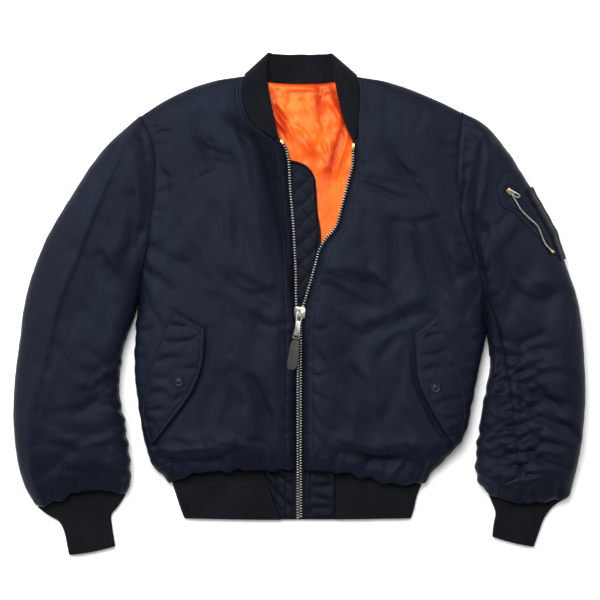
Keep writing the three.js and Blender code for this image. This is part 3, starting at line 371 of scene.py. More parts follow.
# Materials
class Nodes:
    def __init__(self, name):
        self.material = bpy.data.materials.new(name)
        self.material.use_nodes = True
        self.tree = self.material.node_tree
        self.shader = self.tree.nodes["Principled BSDF"]

    def add(self, kind, inputs=None, **settings):
        node = self.tree.nodes.new(kind)
        for key, value in settings.items():
            setattr(node, key, value)
        for key, value in (inputs or {}).items():
            if hasattr(value, "is_output"):
                self.tree.links.new(value, node.inputs[key])
            else:
                node.inputs[key].default_value = value
        return node

    def objectSpots(self):
        return self.add("ShaderNodeTexCoord").outputs["Object"]

    def clothSpots(self):
        return self.add("ShaderNodeUVMap", uv_map="cloth").outputs["UV"]

    def noise(self, spots, scale, detail=4, roughness=0.55):
        inputs = {"Vector": spots, "Scale": scale, "Detail": detail, "Roughness": roughness}
        return self.add("ShaderNodeTexNoise", inputs).outputs["Fac"]

    def maths(self, operation, first, second=0.0):
        return self.add("ShaderNodeMath", {0: first, 1: second}, operation=operation).outputs[0]

    def stretched(self, spots, scale):
        return self.add("ShaderNodeMapping", {"Vector": spots, "Scale": scale}).outputs[0]

    def between(self, share, low, high):
        inputs = {"Value": share, "To Min": low, "To Max": high}
        return self.add("ShaderNodeMapRange", inputs).outputs[0]

    def colours(self, share, stops):
        ramp = self.add("ShaderNodeValToRGB", {"Fac": share})
        elements = ramp.color_ramp.elements
        while len(elements) < len(stops):
            elements.new(0.5)
        for element, (position, colour) in zip(elements, stops):
            element.position = position
            element.color = (*colour, 1)
        return ramp.outputs["Color"]

    def bump(self, height, distance, strength=1.0, before=None):
        inputs = {"Height": height, "Distance": distance * mm, "Strength": strength}
        if before is not None:
            inputs["Normal"] = before
        return self.add("ShaderNodeBump", inputs).outputs["Normal"]

    def finish(self, links=None, values=None):
        for key, output in (links or {}).items():
            self.tree.links.new(output, self.shader.inputs[key])
        for key, value in (values or {}).items():
            self.shader.inputs[key].default_value = value
        return self.material


# The darkest colour stop is painted shade, reached only where an attribute of painted shade darkens the cloth
nylon = {
    "paintedShadeColour": (0.0004, 0.0005, 0.0012), "dark": (0.0026, 0.0034, 0.0082), "light": (0.0048, 0.0062, 0.0132), "roughness": (0.42, 0.56),
    "wrinkleScale": 62, "wrinkle": 1.1, "microScale": 330, "micro": 0.16, "weavePitch": 0.55, "weave": 0.05,
}


# Woven nylon satin: fine crossed threads, small wrinkles and a bluish gloss
def nylonSatin(name, settings=nylon):
    made = Nodes(name)
    spots = made.objectSpots()
    tone = made.noise(spots, 9, 5, 0.6)
    wrinkle = made.noise(made.stretched(spots, (1, 0.55, 1)), settings["wrinkleScale"], 5, 0.62)
    micro = made.noise(spots, settings["microScale"], 3)
    parts = made.add("ShaderNodeSeparateXYZ", {"Vector": made.clothSpots()})
    turns = 2 * math.pi / (settings["weavePitch"] * mm)
    threads = [made.maths("SINE", made.maths("MULTIPLY", parts.outputs[axis], turns)) for axis in (0, 1)]
    weave = made.maths("MULTIPLY", *threads)
    normal = made.bump(wrinkle, settings["wrinkle"])
    normal = made.bump(micro, settings["micro"], before=normal)
    normal = made.bump(weave, settings["weave"], 0.6, before=normal)
    # Painted shade: an attribute darkens the colour, as far as the darkest stop, and raises the roughness where shade
    # falls on the cloth
    paintedShade = made.add("ShaderNodeAttribute", attribute_name="paintedShade").outputs["Fac"]
    tone = made.maths("SUBTRACT", tone, made.maths("MULTIPLY", paintedShade, 0.5))
    colour = made.colours(tone, [(0, settings["paintedShadeColour"]), (0.3, settings["dark"]), (0.7, settings["light"])])
    gloss = made.between(made.noise(spots, 38, 4), *settings["roughness"])
    gloss = made.maths("ADD", gloss, made.maths("MULTIPLY", paintedShade, 0.35))
    return made.finish(
        {"Base Color": colour, "Roughness": gloss, "Normal": normal},
        {"Specular IOR Level": 0.11, "Specular Tint": (0.68, 0.8, 1, 1)},
    )


ribbing = {"dark": (0.0034, 0.0038, 0.0052), "light": (0.0074, 0.0082, 0.0112), "pitch": 2.3, "height": 0.55, "stitch": 1.5}


# Rib knit: wales along the band, with small stitches in each
def ribKnit(name, settings=ribbing):
    made = Nodes(name)
    parts = made.add("ShaderNodeSeparateXYZ", {"Vector": made.clothSpots()})
    wale = made.maths("SINE", made.maths("MULTIPLY", parts.outputs[0], 2 * math.pi / (settings["pitch"] * mm)))
    course = made.maths("SINE", made.maths("MULTIPLY", parts.outputs[1], 2 * math.pi / (settings["stitch"] * mm)))
    fuzz = made.noise(made.objectSpots(), 900, 3)
    height = made.maths("ADD", made.maths("MULTIPLY", wale, 0.5), made.maths("MULTIPLY", course, 0.16))
    normal = made.bump(height, settings["height"])
    normal = made.bump(fuzz, 0.25, 0.7, before=normal)
    # The colour is lighter on the wales and darker between them, painted light and shade that follow the ribs, with a
    # random tone on top
    tone = made.maths("ADD", made.maths("MULTIPLY", wale, 0.22), made.noise(made.objectSpots(), 24, 5))
    colour = made.colours(tone, [(0.25, settings["dark"]), (0.85, settings["light"])])
    rough = made.between(fuzz, 0.82, 0.98)
    return made.finish(
        {"Base Color": colour, "Normal": normal, "Roughness": rough},
        {"Specular IOR Level": 0.06, "Sheen Weight": 0.03, "Sheen Roughness": 0.5, "Sheen Tint": (0.6, 0.66, 0.8, 1)},
    )


# Orange lining satin, glossier than the shell
def liningSatin(name):
    made = Nodes(name)
    spots = made.objectSpots()
    tone = made.noise(spots, 20, 4, 0.5)
    wrinkle = made.noise(made.stretched(spots, (1, 0.6, 1)), 60, 5, 0.6)
    normal = made.bump(wrinkle, 1.3)
    normal = made.bump(made.noise(spots, 420, 2), 0.08, before=normal)
    # Painted shade: an attribute darkens the lining's colour in its troughs and in bands where the collar and fronts
    # shade it; the ramp runs from a random tone less this painted shade
    liningPaintedShade = made.add("ShaderNodeAttribute", attribute_name="paintedShade").outputs["Fac"]
    paintedShade = made.maths("SUBTRACT", made.maths("MULTIPLY", tone, 0.7), made.maths("MULTIPLY", liningPaintedShade, 0.34))
    colour = made.colours(paintedShade, [(0.05, (0.4, 0.02, 0.001)), (0.22, (0.56, 0.05, 0.003)), (0.42, (0.74, 0.108, 0.007))])
    gloss = made.between(made.noise(spots, 45, 4), 0.3, 0.42)
    return made.finish(
        {"Base Color": colour, "Normal": normal, "Roughness": gloss},
        {"Specular IOR Level": 0.55, "Specular Tint": (1, 0.6, 0.25, 1)},
    )


def metalFinish(name, tones, roughness, scratch=0.04):
    made = Nodes(name)
    spots = made.objectSpots()
    wear = made.noise(spots, 260, 6, 0.65)
    fine = made.noise(made.stretched(spots, (1, 6, 1)), 900, 3)
    normal = made.bump(fine, scratch, 0.5)
    colour = made.colours(wear, [(0.35, tones[0]), (0.65, tones[1])])
    gloss = made.between(wear, *roughness)
    return made.finish({"Base Color": colour, "Roughness": gloss, "Normal": normal}, {"Metallic": 1.0})


def tapeWeave(name, dark, light):
    made = Nodes(name)
    parts = made.add("ShaderNodeSeparateXYZ", {"Vector": made.clothSpots()})
    turns = 2 * math.pi / (0.8 * mm)
    slant = made.maths("ADD", parts.outputs[0], parts.outputs[1])
    twill = made.maths("SINE", made.maths("MULTIPLY", slant, turns))
    normal = made.bump(twill, 0.12)
    colour = made.colours(made.noise(made.objectSpots(), 140, 4), [(0.3, dark), (0.7, light)])
    rough = made.between(twill, 0.75, 0.9)
    return made.finish({"Base Color": colour, "Normal": normal, "Roughness": rough}, {"Specular IOR Level": 0.12})


def tabLeather(name):
    made = Nodes(name)
    spots = made.objectSpots()
    grain = made.add("ShaderNodeTexVoronoi", {"Vector": spots, "Scale": 1500}).outputs["Distance"]
    normal = made.bump(grain, 0.12, 0.7)
    normal = made.bump(made.noise(spots, 220, 4), 0.25, 0.5, before=normal)
    colour = made.colours(made.noise(spots, 130, 5), [(0.35, (0.014, 0.0145, 0.015)), (0.7, (0.026, 0.0265, 0.027))])
    gloss = made.between(made.noise(spots, 300, 3), 0.45, 0.62)
    return made.finish({"Base Color": colour, "Normal": normal, "Roughness": gloss}, {"Specular IOR Level": 0.4})


def threadLook(name, dark, light):
    made = Nodes(name)
    spots = made.objectSpots()
    twist = made.noise(spots, 2400, 2)
    colour = made.colours(made.noise(spots, 90, 3), [(0.3, dark), (0.7, light)])
    rough = made.between(twist, 0.5, 0.7)
    return made.finish({"Base Color": colour, "Normal": made.bump(twist, 0.06), "Roughness": rough}, {})


looks = {
    "nylon": nylonSatin("nylon"),
    "rib": ribKnit("rib_knit"),
    "lining": liningSatin("lining"),
    "tape": tapeWeave("zip_tape", (0.0025, 0.003, 0.005), (0.005, 0.006, 0.009)),
    # A darker copy of the nylon: painted shade, for the wind flap, the plackets and the pen strip
    "quilt": nylonSatin("quilted_nylon", {**nylon, "dark": (0.0012, 0.0014, 0.003), "light": (0.0026, 0.003, 0.0058)}),
    "zipMetal": metalFinish("zip_metal", ((0.33, 0.33, 0.32), (0.5, 0.5, 0.48)), (0.24, 0.4)),
    "pullMetal": metalFinish("pull_metal", ((0.17, 0.17, 0.15), (0.28, 0.28, 0.25)), (0.26, 0.4)),
    "snapMetal": metalFinish("snap_metal", ((0.012, 0.013, 0.018), (0.03, 0.032, 0.04)), (0.42, 0.58)),
    "snapRim": metalFinish("snap_rim", ((0.2, 0.21, 0.23), (0.32, 0.33, 0.35)), (0.24, 0.36)),
    "brass": metalFinish("brass", ((0.5, 0.32, 0.11), (0.66, 0.45, 0.18)), (0.28, 0.42)),
    "agedBrass": metalFinish("aged_brass", ((0.12, 0.09, 0.05), (0.4, 0.26, 0.1)), (0.3, 0.45)),
    "tab": tabLeather("tab"),
    "thread": threadLook("thread", (0.009, 0.012, 0.026), (0.02, 0.025, 0.05)),
    "liningThread": threadLook("lining_thread", (0.7, 0.1, 0.015), (0.8, 0.14, 0.02)),
}
# The record's slot that each look belongs to
slots = {
    "nylon": "nylon", "quilt": "nylon", "rib": "rib_knit", "lining": "lining", "tape": "zip_tape", "zipMetal": "zip_metal",
    "snapMetal": "snap_metal", "snapRim": "snap_metal", "pullMetal": "zip_metal", "brass": "brass", "agedBrass": "brass", "tab": "tab", "thread": "nylon", "liningThread": "lining",
}
slots = {looks[key].name: slot for key, slot in slots.items()}
print("materials ready")


# The outlines and heights of the pieces, as they are in the frame
seamGap = 0.3
seamWall = 3
level = {"body": 15, "sleeve": 17, "hem": 8, "cuff": 8}
loft = {"body": 19, "sleeve": 25}
rounding = {"side": 42, "zip": 28, "shoulder": 38, "hem": 18, "sleeveSide": 46, "sleeveHead": 26, "cuff": 34}
outline = {
    "sideRight": [(-187, -257), (-212, -239), (-223, -210), (-232, -165), (-240, -95), (-239, -50), (-235, 1)],
    "armholeRight": [(-235, 1), (-229, 42), (-220, 80), (-215, 125), (-210, 175), (-212, 230), (-231, 274)],
    "sideLeft": [(182, -257), (213, -228), (241, -193), (251, -155), (263, -93), (274, -42)],
    "armholeLeft": [(274, -42), (269, 5), (261, 48), (248, 88), (236, 135), (231, 185), (233, 235), (238, 279)],
    "shoulderRight": [(-231, 274), (-193, 298), (-140, 321), (-79, 332)],
    "shoulderLeft": [(238, 279), (199, 298), (139, 321), (84, 331)],
    "collarSeamRight": [(-34, 240), (-53, 251), (-70, 267), (-80, 289), (-83, 311), (-79, 332)],
    "collarSeamLeft": [(84, 240), (86, 265), (88, 290), (88, 312), (84, 331)],
    "backNeck": [(-79, 332), (-47, 323), (1, 320), (50, 323), (84, 331)],
    "chainRight": [(-2.1, -313.5), (-2.1, -200), (-2.1, -60), (-2.1, -24), (-4, -6), (-4.6, 10), (-5, 45),
                   (-9, 121), (-13, 168), (-16, 212), (-21, 230), (-27, 239)],
    "chainLeft": [(3.1, -313.5), (3.1, -200), (3.1, -60), (3.1, -24), (6, -6), (11, 11), (25, 60), (31, 81),
                  (40, 95), (54, 112), (63, 142), (73, 180), (79, 206), (79, 234)],
    "outerRight": [(-231, 274), (-282, 228), (-331, 158), (-371, 88), (-396, 18), (-407, -53), (-415, -123),
                   (-415, -193), (-402, -263), (-384, -295)],
    "innerRight": [(-235, 1), (-241, -22), (-253, -53), (-260, -88), (-262, -131), (-254, -175), (-247, -228),
                   (-247, -263), (-253, -277)],
    "outerLeft": [(238, 279), (269, 262), (301, 226), (345, 156), (373, 104), (385, 68), (407, 0), (415, -70),
                  (417, -149), (408, -228), (396, -280)],
    "innerLeft": [(274, -42), (279, -90), (270, -140), (262, -190), (258, -240), (263, -262), (276, -272)],
    "cuffSeamRight": [(-384, -295), (-349, -285), (-318, -272), (-283, -270), (-253, -277)],
    "cuffSeamLeft": [(276, -272), (301, -283), (330, -289), (359, -286), (396, -280)],
}
hemSeam = [(-187, -257), (-159, -246), (-123, -240), (-54, -239), (0, -240), (60, -242), (95, -250), (126, -258),
           (155, -260), (182, -257)]
curves = {name: curveThrough(rows) for name, rows in outline.items()}
# The silhouettes' small lumps: how far they stand out, their pitch and seed
lumps = {
    "innerRight": (2.8, 12, 121), "innerLeft": (3.0, 12, 122), "outerRight": (1.1, 24, 123), "outerLeft": (1.4, 18, 124),
    "sideRight": (2.2, 14, 125), "sideLeft": (2.2, 14, 126),
}


def lumpy(curve, height, pitch, seed):
    outside = shifted(curve, 1)
    length = np.linalg.norm(np.diff(curve(np.linspace(0, 1, 200)), axis=0), axis=1).sum()

    def withLumps(share):
        share = np.asarray(share, float)
        along = length * share
        wave = height * crumple(along, np.zeros_like(along), (pitch, 1), seed)
        wave = wave * smoothStep(share, 0.02, 0.2) * (1 - smoothStep(share, 0.9, 0.99))
        return curve(share) + (outside(share) - curve(share)) * wave[..., None]
    return withLumps


for name, values in lumps.items():
    curves[name] = lumpy(curves[name], *values)
zipSizes = {
    "edge": 3.5, "hemShare": 74 / 555, "topShare": 0.985, "clear": 0.4,
    "lift": {"full": 7.5, "none": -75, "reached": -32, "band": 34, "fades": 60},
}


def bodyMiddle(y):
    return level["hem"] + (level["body"] - level["hem"]) * smoothStep(y, -252, -205)


def liftAt(y):
    lift = zipSizes["lift"]
    return lift["full"] * smoothStep(y, lift["none"], lift["reached"])


def zipBase(y):
    return bodyMiddle(y) + seamGap / 2 + liftAt(y) + zipSizes["clear"]


def zipEdge(side):
    curve = curves["chain" + side]
    sign = 1 if side == "Right" else -1
    move = shifted(curve, sign * zipSizes["edge"])
    return lambda share: move(zipSizes["hemShare"] + (zipSizes["topShare"] - zipSizes["hemShare"]) * share)


flapParts = {
    "Right": {
        "outer": [(-218, -200), (-231, -155), (-220, -105), (-207, -64), (-184, -7)],
        "free": [(-212, -203), (-181, -164), (-152, -122), (-139, -80), (-137, -35)],
        "top": [(-184, -7), (-160, -22), (-137, -35)], "tip": [(-218, -200), (-212, -203)], "snap": (-174, -112),
    },
    "Left": {
        "outer": [(234, -205), (245, -160), (238, -111), (221, -55), (201, -14)],
        "free": [(226, -206), (207, -180), (189, -149), (173, -114), (167, -43)],
        "top": [(201, -14), (184, -29), (167, -43)], "tip": [(234, -205), (226, -206)], "snap": (197, -121),
    },
}


# Fronts: padded panels with their folds, blousing over the rib at the hem
frontSizes = {
    "columns": 104, "rows": 226, "wall": 1.8, "seamDip": 1.1, "seamRadius": 3.2, "armhole": 0.78, "blouse": 7,
    "folds": 0.5, "creases": 0.6, "facets": [((50, 96), 1.7), ((26, 44), 0.4)],
}
frontFolds = {
    "Right": [
        (-56, 238, -31, 179, 10, -5), (-31, 179, -20, 60, 10, -4), (-61, 223, -45, 123, 14, 4),
        (-142, 273, -124, 220, 14, -3), (-155, 279, -142, 223, 14, 3), (-124, 135, -111, 91, 12, -3),
        (-164, 145, -180, 85, 14, -3), (-99, 148, -105, 60, 16, 3), (-227, 85, -167, 60, 9, -5),
        (-230, 60, -186, 22, 9, -5), (-221, 101, -155, 84, 12, 3), (-86, 35, -36, 4, 12, -3),
        (-124, 10, -61, -28, 14, -3), (-55, -21, -61, -90, 10, -3), (-36, -15, -30, -90, 10, 3),
        (-13, -45, -15, -100, 9, -4), (-95, -96, -83, -146, 10, -4), (-67, -109, -42, -159, 10, -4),
        (-124, -134, -136, -178, 12, -3), (-167, -217, -117, -228, 9, -6), (-205, -215, -167, -237, 9, -6),
        (-86, -228, -36, -229, 9, -6), (-155, -197, -86, -203, 14, 4),
    ],
    "Left": [
        (95, 273, 127, 179, 14, -3), (102, 179, 177, 166, 12, -4), (189, 198, 227, 154, 14, -3),
        (142, 116, 136, 35, 10, -5), (161, 110, 180, 10, 14, 5), (95, 85, 108, 35, 10, -4),
        (108, 35, 133, 7, 10, -5), (45, 48, 114, 16, 12, 5), (42, 29, 108, -6, 10, -6),
        (180, -15, 108, -40, 10, -6), (170, 4, 102, -24, 12, 5), (108, -40, 64, -78, 10, -4),
        (30, -78, 58, -115, 9, -4), (89, -53, 120, -115, 14, -3), (127, -159, 152, -209, 12, -4),
        (52, -215, 127, -227, 9, -6), (127, -222, 189, -235, 9, -5), (64, -197, 164, -203, 14, 4),
        (271, 35, 239, -15, 10, -5), (264, 54, 227, 35, 10, -4), (252, 16, 221, -40, 12, 3),
    ],
}
frontCreases = {
    "Right": [
        (-136, 244, -120, 214, 4, 5, -2.2), (-124, 204, -92, 218, 4, 5, -1.6), (-189, 140, -204, 88, -4, 5, -2),
        (-163, 90, -138, 56, 4, 4.5, -1.8), (-120, 150, -108, 96, 5, 5, -1.6), (-66, 196, -52, 120, -5, 5, -2),
        (-48, 150, -36, 70, 3, 4, -1.8), (-84, 120, -74, 60, 5, 6, -1.5), (-150, 210, -158, 160, 4, 6, -1.4),
        (-96, 52, -44, 22, -5, 4.5, -2), (-72, 8, -34, -14, 3, 4, -1.8), (-118, -12, -72, -34, 4, 5, -1.6),
        (-88, -108, -68, -158, 5, 4.5, -2.2), (-100, -150, -106, -190, -3, 5, -2), (-62, -144, -36, -180, 5, 4.5, -2.2),
        (-50, -100, -38, -140, -4, 4, -1.8), (-128, -94, -112, -130, 4, 5, -1.6), (-30, -120, -20, -170, 3, 4, -1.8),
        (-140, -190, -96, -206, -4, 5, -2), (-84, -196, -44, -206, 3, 4.5, -2), (-190, -196, -150, -214, 4, 4.5, -1.8),
        (-26, -176, -18, -222, 2, 4, -1.8), (-72, -172, -60, -214, -3, 4, -1.8), (-222, 22, -204, -20, -4, 5, -2),
        (-214, -10, -196, -44, 4, 5, -1.8), (-232, -60, -222, -110, 3, 4.5, -1.6), (-226, -140, -214, -190, -4, 5, -1.8),
        (-150, 20, -118, -6, 5, 6, -1.4), (-126, 60, -96, 34, -5, 5, -1.5), (-200, 200, -190, 150, 4, 6, -1.5),
        (-112, 300, -98, 262, -4, 6, -1.5), (-176, 262, -168, 216, 4, 6, -1.3), (-58, -40, -46, -78, 4, 4.5, -1.6),
    ],
    "Left": [
        (183, 284, 168, 252, 4, 5, -1.8), (114, 171, 174, 152, -5, 4.5, -2.4), (140, 196, 166, 172, 4, 5, -1.8),
        (227, 200, 234, 140, 4, 5, -1.8), (146, 118, 154, 36, 6, 4.5, -2.4), (168, 96, 190, 40, -5, 5, -1.8),
        (40, 48, 100, 31, -6, 5, -2.6), (106, 30, 146, 4, 5, 4.5, -2.4), (190, 36, 244, -14, 5, 5, -2.2),
        (50, -14, 94, -44, -5, 4.5, -2.4), (164, -14, 110, -52, 5, 4.5, -2.4), (150, -40, 112, -78, 4, 4.5, -2),
        (70, -90, 108, -134, 5, 5, -2), (145, -140, 186, -196, -6, 5, -2.2), (108, -146, 128, -196, 4, 5, -2),
        (60, -130, 76, -176, -4, 4.5, -1.8), (20, -60, 40, -92, 3, 4, -2), (16, -96, 44, -132, 4, 4, -2),
        (18, -140, 36, -180, -3, 4, -1.8), (22, -186, 44, -222, 3, 4, -1.8), (80, -184, 126, -206, -4, 4.5, -2.2),
        (136, -200, 178, -222, 4, 4.5, -2), (190, -150, 206, -190, -3, 4.5, -1.8), (232, -52, 252, -104, 4, 5, -1.6),
        (100, 60, 122, 26, -4, 4.5, -1.8), (60, 100, 88, 66, 4, 5, -1.6), (98, 236, 118, 190, 5, 6, -1.5),
        (130, 300, 138, 262, -4, 6, -1.4), (206, 262, 212, 214, 4, 6, -1.4), (84, 150, 108, 122, -4, 5, -1.6),
        (204, 120, 222, 84, 4, 5, -1.6), (214, 70, 246, 48, -4, 4.5, -2), (60, 6, 88, -8, 2, 4, -1.8),
        (130, -104, 152, -134, 4, 5, -1.6), (200, 8, 228, -22, 3, 4.5, -1.8),
    ],
}
frontCurved = {
    "Right": [
        ([(-98, 262), (-80, 205), (-66, 150), (-52, 90), (-42, 30)], 13, 5.4),
        ([(-60, 250), (-44, 200), (-33, 150), (-25, 100), (-20, 50)], 9, -4),
        ([(-88, 268), (-82, 244), (-66, 222)], 5, -2.5),
        ([(-150, 262), (-140, 232), (-122, 208), (-96, 206)], 7, -3.2),
        ([(-210, -205), (-178, -165), (-149, -122), (-136, -80), (-134, -35)], 3.2, -2.8),
        ([(-88, -98), (-66, -114), (-50, -150), (-40, -206)], 10, -4.2),
        ([(-108, -106), (-92, -140), (-88, -190)], 9, -2.4), ([(-98, -80), (-76, -124), (-66, -180)], 10, 2.6),
        ([(-149, 239), (-134, 228), (-118, 221), (-99, 214)], 3.5, -2.2), ([(-149, 181), (-134, 190), (-118, 196)], 4, -1.8),
        ([(-92, 158), (-91, 120), (-88, 84)], 7, -2.2), ([(-60, 130), (-50, 90), (-44, 40)], 8, -2),
        ([(-170, 110), (-150, 60), (-120, 20)], 12, -2.2), ([(-204, 60), (-176, 84), (-152, 120)], 12, 2.2),
        ([(-100, 30), (-70, 16), (-40, 20)], 6, -2.4), ([(-70, -12), (-44, -30), (-16, -24)], 5, -2),
        ([(-196, -222), (-160, -228), (-120, -224), (-90, -212)], 6, -4.5),
        ([(-214, -212), (-176, -214), (-130, -208), (-96, -196)], 9, 3),
    ],
    "Left": [
        ([(224, -211), (203, -184), (185, -151), (169, -115), (163, -44)], 3.4, -4.6),
        ([(163, -40), (181, -25), (199, -10)], 4, -2.4),
        ([(122, 296), (128, 240), (150, 196), (182, 150)], 10, -2.6),
        ([(52, 46), (88, 36), (118, 14), (150, -16)], 9, -4.2),
        ([(46, 64), (92, 54), (128, 34)], 9, 3.2),
        ([(136, 121), (138, 88), (141, 49), (134, 20)], 7, -3), ([(146, 122), (172, 120), (201, 128)], 4.5, -2.4),
        ([(155, 113), (176, 84), (194, 46), (208, 10)], 8, -3), ([(184, 159), (200, 118), (216, 70), (230, 18)], 7, -3.2),
        ([(172, 104), (188, 70), (204, 30)], 8, 2.4), ([(85, 178), (104, 172), (126, 163), (148, 155)], 4, -2.4),
        ([(118, 230), (142, 206), (160, 190), (178, 180)], 6, -2.2), ([(70, -6), (80, -60), (72, -130), (60, -206)], 13, -3.4),
        ([(112, -70), (106, -120), (120, -170)], 22, 3), ([(20, -34), (32, -36), (44, -30)], 3.4, -1.8),
        ([(19, -100), (30, -104), (42, -98)], 3.4, -1.8), ([(19, -128), (32, -134), (44, -142)], 3.4, -1.8),
        ([(70, -206), (100, -222), (132, -226), (166, -218)], 7, -4.5),
        ([(62, -190), (100, -204), (150, -204)], 9, 3),
        ([(112, -88), (128, -60), (150, -44), (158, -60)], 8, -3.2),
        ([(44, -50), (74, -96), (98, -150), (104, -204)], 15, -3.6), ([(140, -70), (152, -120), (178, -176)], 13, 3.2),
        ([(150, -84), (142, -124), (124, -170)], 9, -3),
    ],
}
frontPuckers = {
    "hem": {"from": 0.03, "to": 0.97, "pitch": 0.06, "length": 38, "width": 4.4, "height": 2.0, "turn": 0.7},
    "armhole": {"from": 0.02, "to": 0.98, "pitch": 0.09, "length": 30, "width": 4.5, "height": 0.9, "turn": 0.6},
    "zip": {"from": 0.02, "to": 0.97, "pitch": 0.022, "length": 13, "width": 2.6, "height": 1.0, "turn": 0.35},
    "side": {"from": 0.02, "to": 0.98, "pitch": 0.055, "length": 22, "width": 3.8, "height": 1.5, "turn": 0.5},
}
frontParts = {
    "Right": {"neckShare": 0.82, "armShare": 0.48, "openRoll": 16, "slope": 0.7, "seed": 3},
    "Left": {"neckShare": 0.84, "armShare": 0.4, "openRoll": 0, "slope": 0, "seed": 8},
}


def frontCurves(side):
    part = frontParts[side]
    inner = joined(zipEdge(side), curves["collarSeam" + side], part["neckShare"])
    outer = joined(curves["side" + side], curves["armhole" + side], part["armShare"])
    start, end = float(outer(0.0)[0]), float(inner(0.0)[0])

    def bottom(u):
        x = start + (end - start) * np.asarray(u, float)
        return np.stack([x, alongTable(hemSeam, x)], -1)
    return outer, inner, bottom


def frontPoints(side):
    part, sizes = frontParts[side], frontSizes
    outer, inner, bottom = frontCurves(side)
    plan = patch(outer, inner, bottom, curves["shoulder" + side])
    u, v = np.meshgrid(crowded(sizes["columns"]), crowded(sizes["rows"], 0.55))
    x, y, (toSide, toZip, toHem, toShoulder) = plan(u, v)
    lift = liftAt(y) * (1 - smoothStep(toZip, zipSizes["lift"]["band"], zipSizes["lift"]["fades"]))
    low = bodyMiddle(y) + seamGap / 2 + lift
    turned = low.copy()
    turned[-1] -= lift[-1]
    atArmhole = smoothStep(v, part["armShare"], part["armShare"] + 0.14)
    atCollar = smoothStep(v, part["neckShare"], part["neckShare"] + 0.05)
    sideRise = rise(toSide, rounding["side"])
    isOpen = smoothStep(y, 40, 130)
    zipRise = rise(toZip, rounding["zip"] + part["openRoll"] * isOpen)
    slope = np.clip(toZip / (rounding["zip"] + part["openRoll"]), 0, 1)
    zipRise += part["slope"] * isOpen * (slope - zipRise)
    armRise = sizes["armhole"] + (1 - sizes["armhole"]) * smoothStep(toSide, 0, rounding["side"])
    neckRise = 0.35 + 0.65 * smoothStep(toZip, -4, 34)
    puff = (sideRise + (armRise - sideRise) * atArmhole) * (zipRise + (neckRise - zipRise) * atCollar)
    puff = puff * rise(toShoulder, rounding["shoulder"]) * rise(toHem, rounding["hem"])
    nearest = np.minimum(np.minimum(toSide, toZip), np.minimum(toHem, toShoulder))
    held = rise(nearest, 16)
    sign = 1 if side == "Right" else -1
    seed = part["seed"]
    fine = sizes["creases"] * creaseHeight(frontCreases[side], x, y)
    rows = puckers(bottom, sign, frontPuckers["hem"], seed)
    rows += puckers(curves["armhole" + side], -sign, frontPuckers["armhole"], seed + 1)
    rows += puckers(zipEdge(side), sign, frontPuckers["zip"], seed + 2)
    rows += puckers(curves["side" + side], -sign, frontPuckers["side"], seed + 3)
    fine += creaseHeight(rows, x, y)
    for scales, height in sizes["facets"]:
        fine += height * faceted(x + y / 4, y, scales, seed + scales[0])
    atSeam = atArmhole * np.exp(-((toSide / sizes["seamRadius"]) ** 2))
    atSeam += atCollar * np.exp(-((toZip / sizes["seamRadius"]) ** 2))
    folds = sizes["folds"] * foldHeight(frontFolds[side], x, y) + curvedHeight(frontCurved[side], x, y)
    high = low + seamWall + (loft["body"] - lift) * puff + folds * held
    high += fine * rise(nearest, 9) - sizes["seamDip"] * atSeam
    zipRoll = (1 - rise(toZip, 5)) * (1 - atCollar)
    high -= 1.1 * np.exp(-(((toZip - 12) / 1.8) ** 2)) * (1 - atCollar)
    high -= 0.8 * (np.exp(-(((toZip - 4) / 1.5) ** 2)) + np.exp(-(((toZip - 8.4) / 1.5) ** 2))) * atCollar
    high = np.maximum(high, low + 2.2) - 1.1 * zipRoll
    blouse = sizes["blouse"] * (1 + 0.7 * crumple(x, np.zeros_like(x), (16, 1), seed + 20))
    y = y - blouse * np.exp(-(((toHem - 5) / 7) ** 2)) * smoothStep(toHem, 0, 3) * rise(toZip, 12)
    return turnedDown(np.stack([x, y, high], -1), turned)


# Painted shade on the right front: a dark band beside the open zip, where its cloth falls into a deep fold in shadow
def paintedShadeBesideZip(points):
    x, y = points[:, 0], points[:, 1]
    zipX = alongTable(zipSpots, y)
    fromZip = (zipX - x) / alongTable([(-10, 4), (67, 21), (131, 35), (231, 50), (262, 44)], y)
    ends = smoothStep(y, -25, 25) * (1 - smoothStep(y, 266, 290))
    return 0.74 * (1 - smoothStep(fromZip, 0.7, 1.16)) * ends * (1 - 0.25 * smoothStep(-fromZip, -0.42, -0.2))


# Painted shade on the fronts: a dark line where a flap's free edge stands over the front, and darker main troughs
def frontPaintedShade(side):
    edge = np.vstack([curveThrough(flapParts[side][key])(np.linspace(0, 1, 160)) for key in ("free", "top")])
    troughs = [row for row in frontCurved[side] if row[2] < 0]

    def paintedShadeOf(points):
        x, y = points[:, 0], points[:, 1]
        away = np.min(np.hypot(x[:, None] - edge[:, 0], y[:, None] - edge[:, 1]), axis=1)
        paintedShade = 0.85 * np.exp(-((away / 2.5) ** 2)) + 0.35 * np.clip(-curvedHeight(troughs, x, y) / 5, 0, 1)
        if side == "Right":
            paintedShade = np.maximum(paintedShade, paintedShadeBesideZip(points))
        return np.clip(paintedShade, 0, 1)
    return paintedShadeOf


zipSpots = [(y, x) for x, y in outline["chainRight"][3:]] + [(262, -68), (290, -84)]
fronts = {}
for side in ("Right", "Left"):
    name = "front_" + side.lower()
    mesh = marked(gridMesh("shell_" + name, frontPoints(side)), frontPaintedShade(side))
    fronts[side] = thicken(place("shell_" + name, mesh, looks["nylon"], replaces=[name]), frontSizes["wall"])
frontTrees = {side: treeOver(piece) for side, piece in fronts.items()}
print("fronts made")


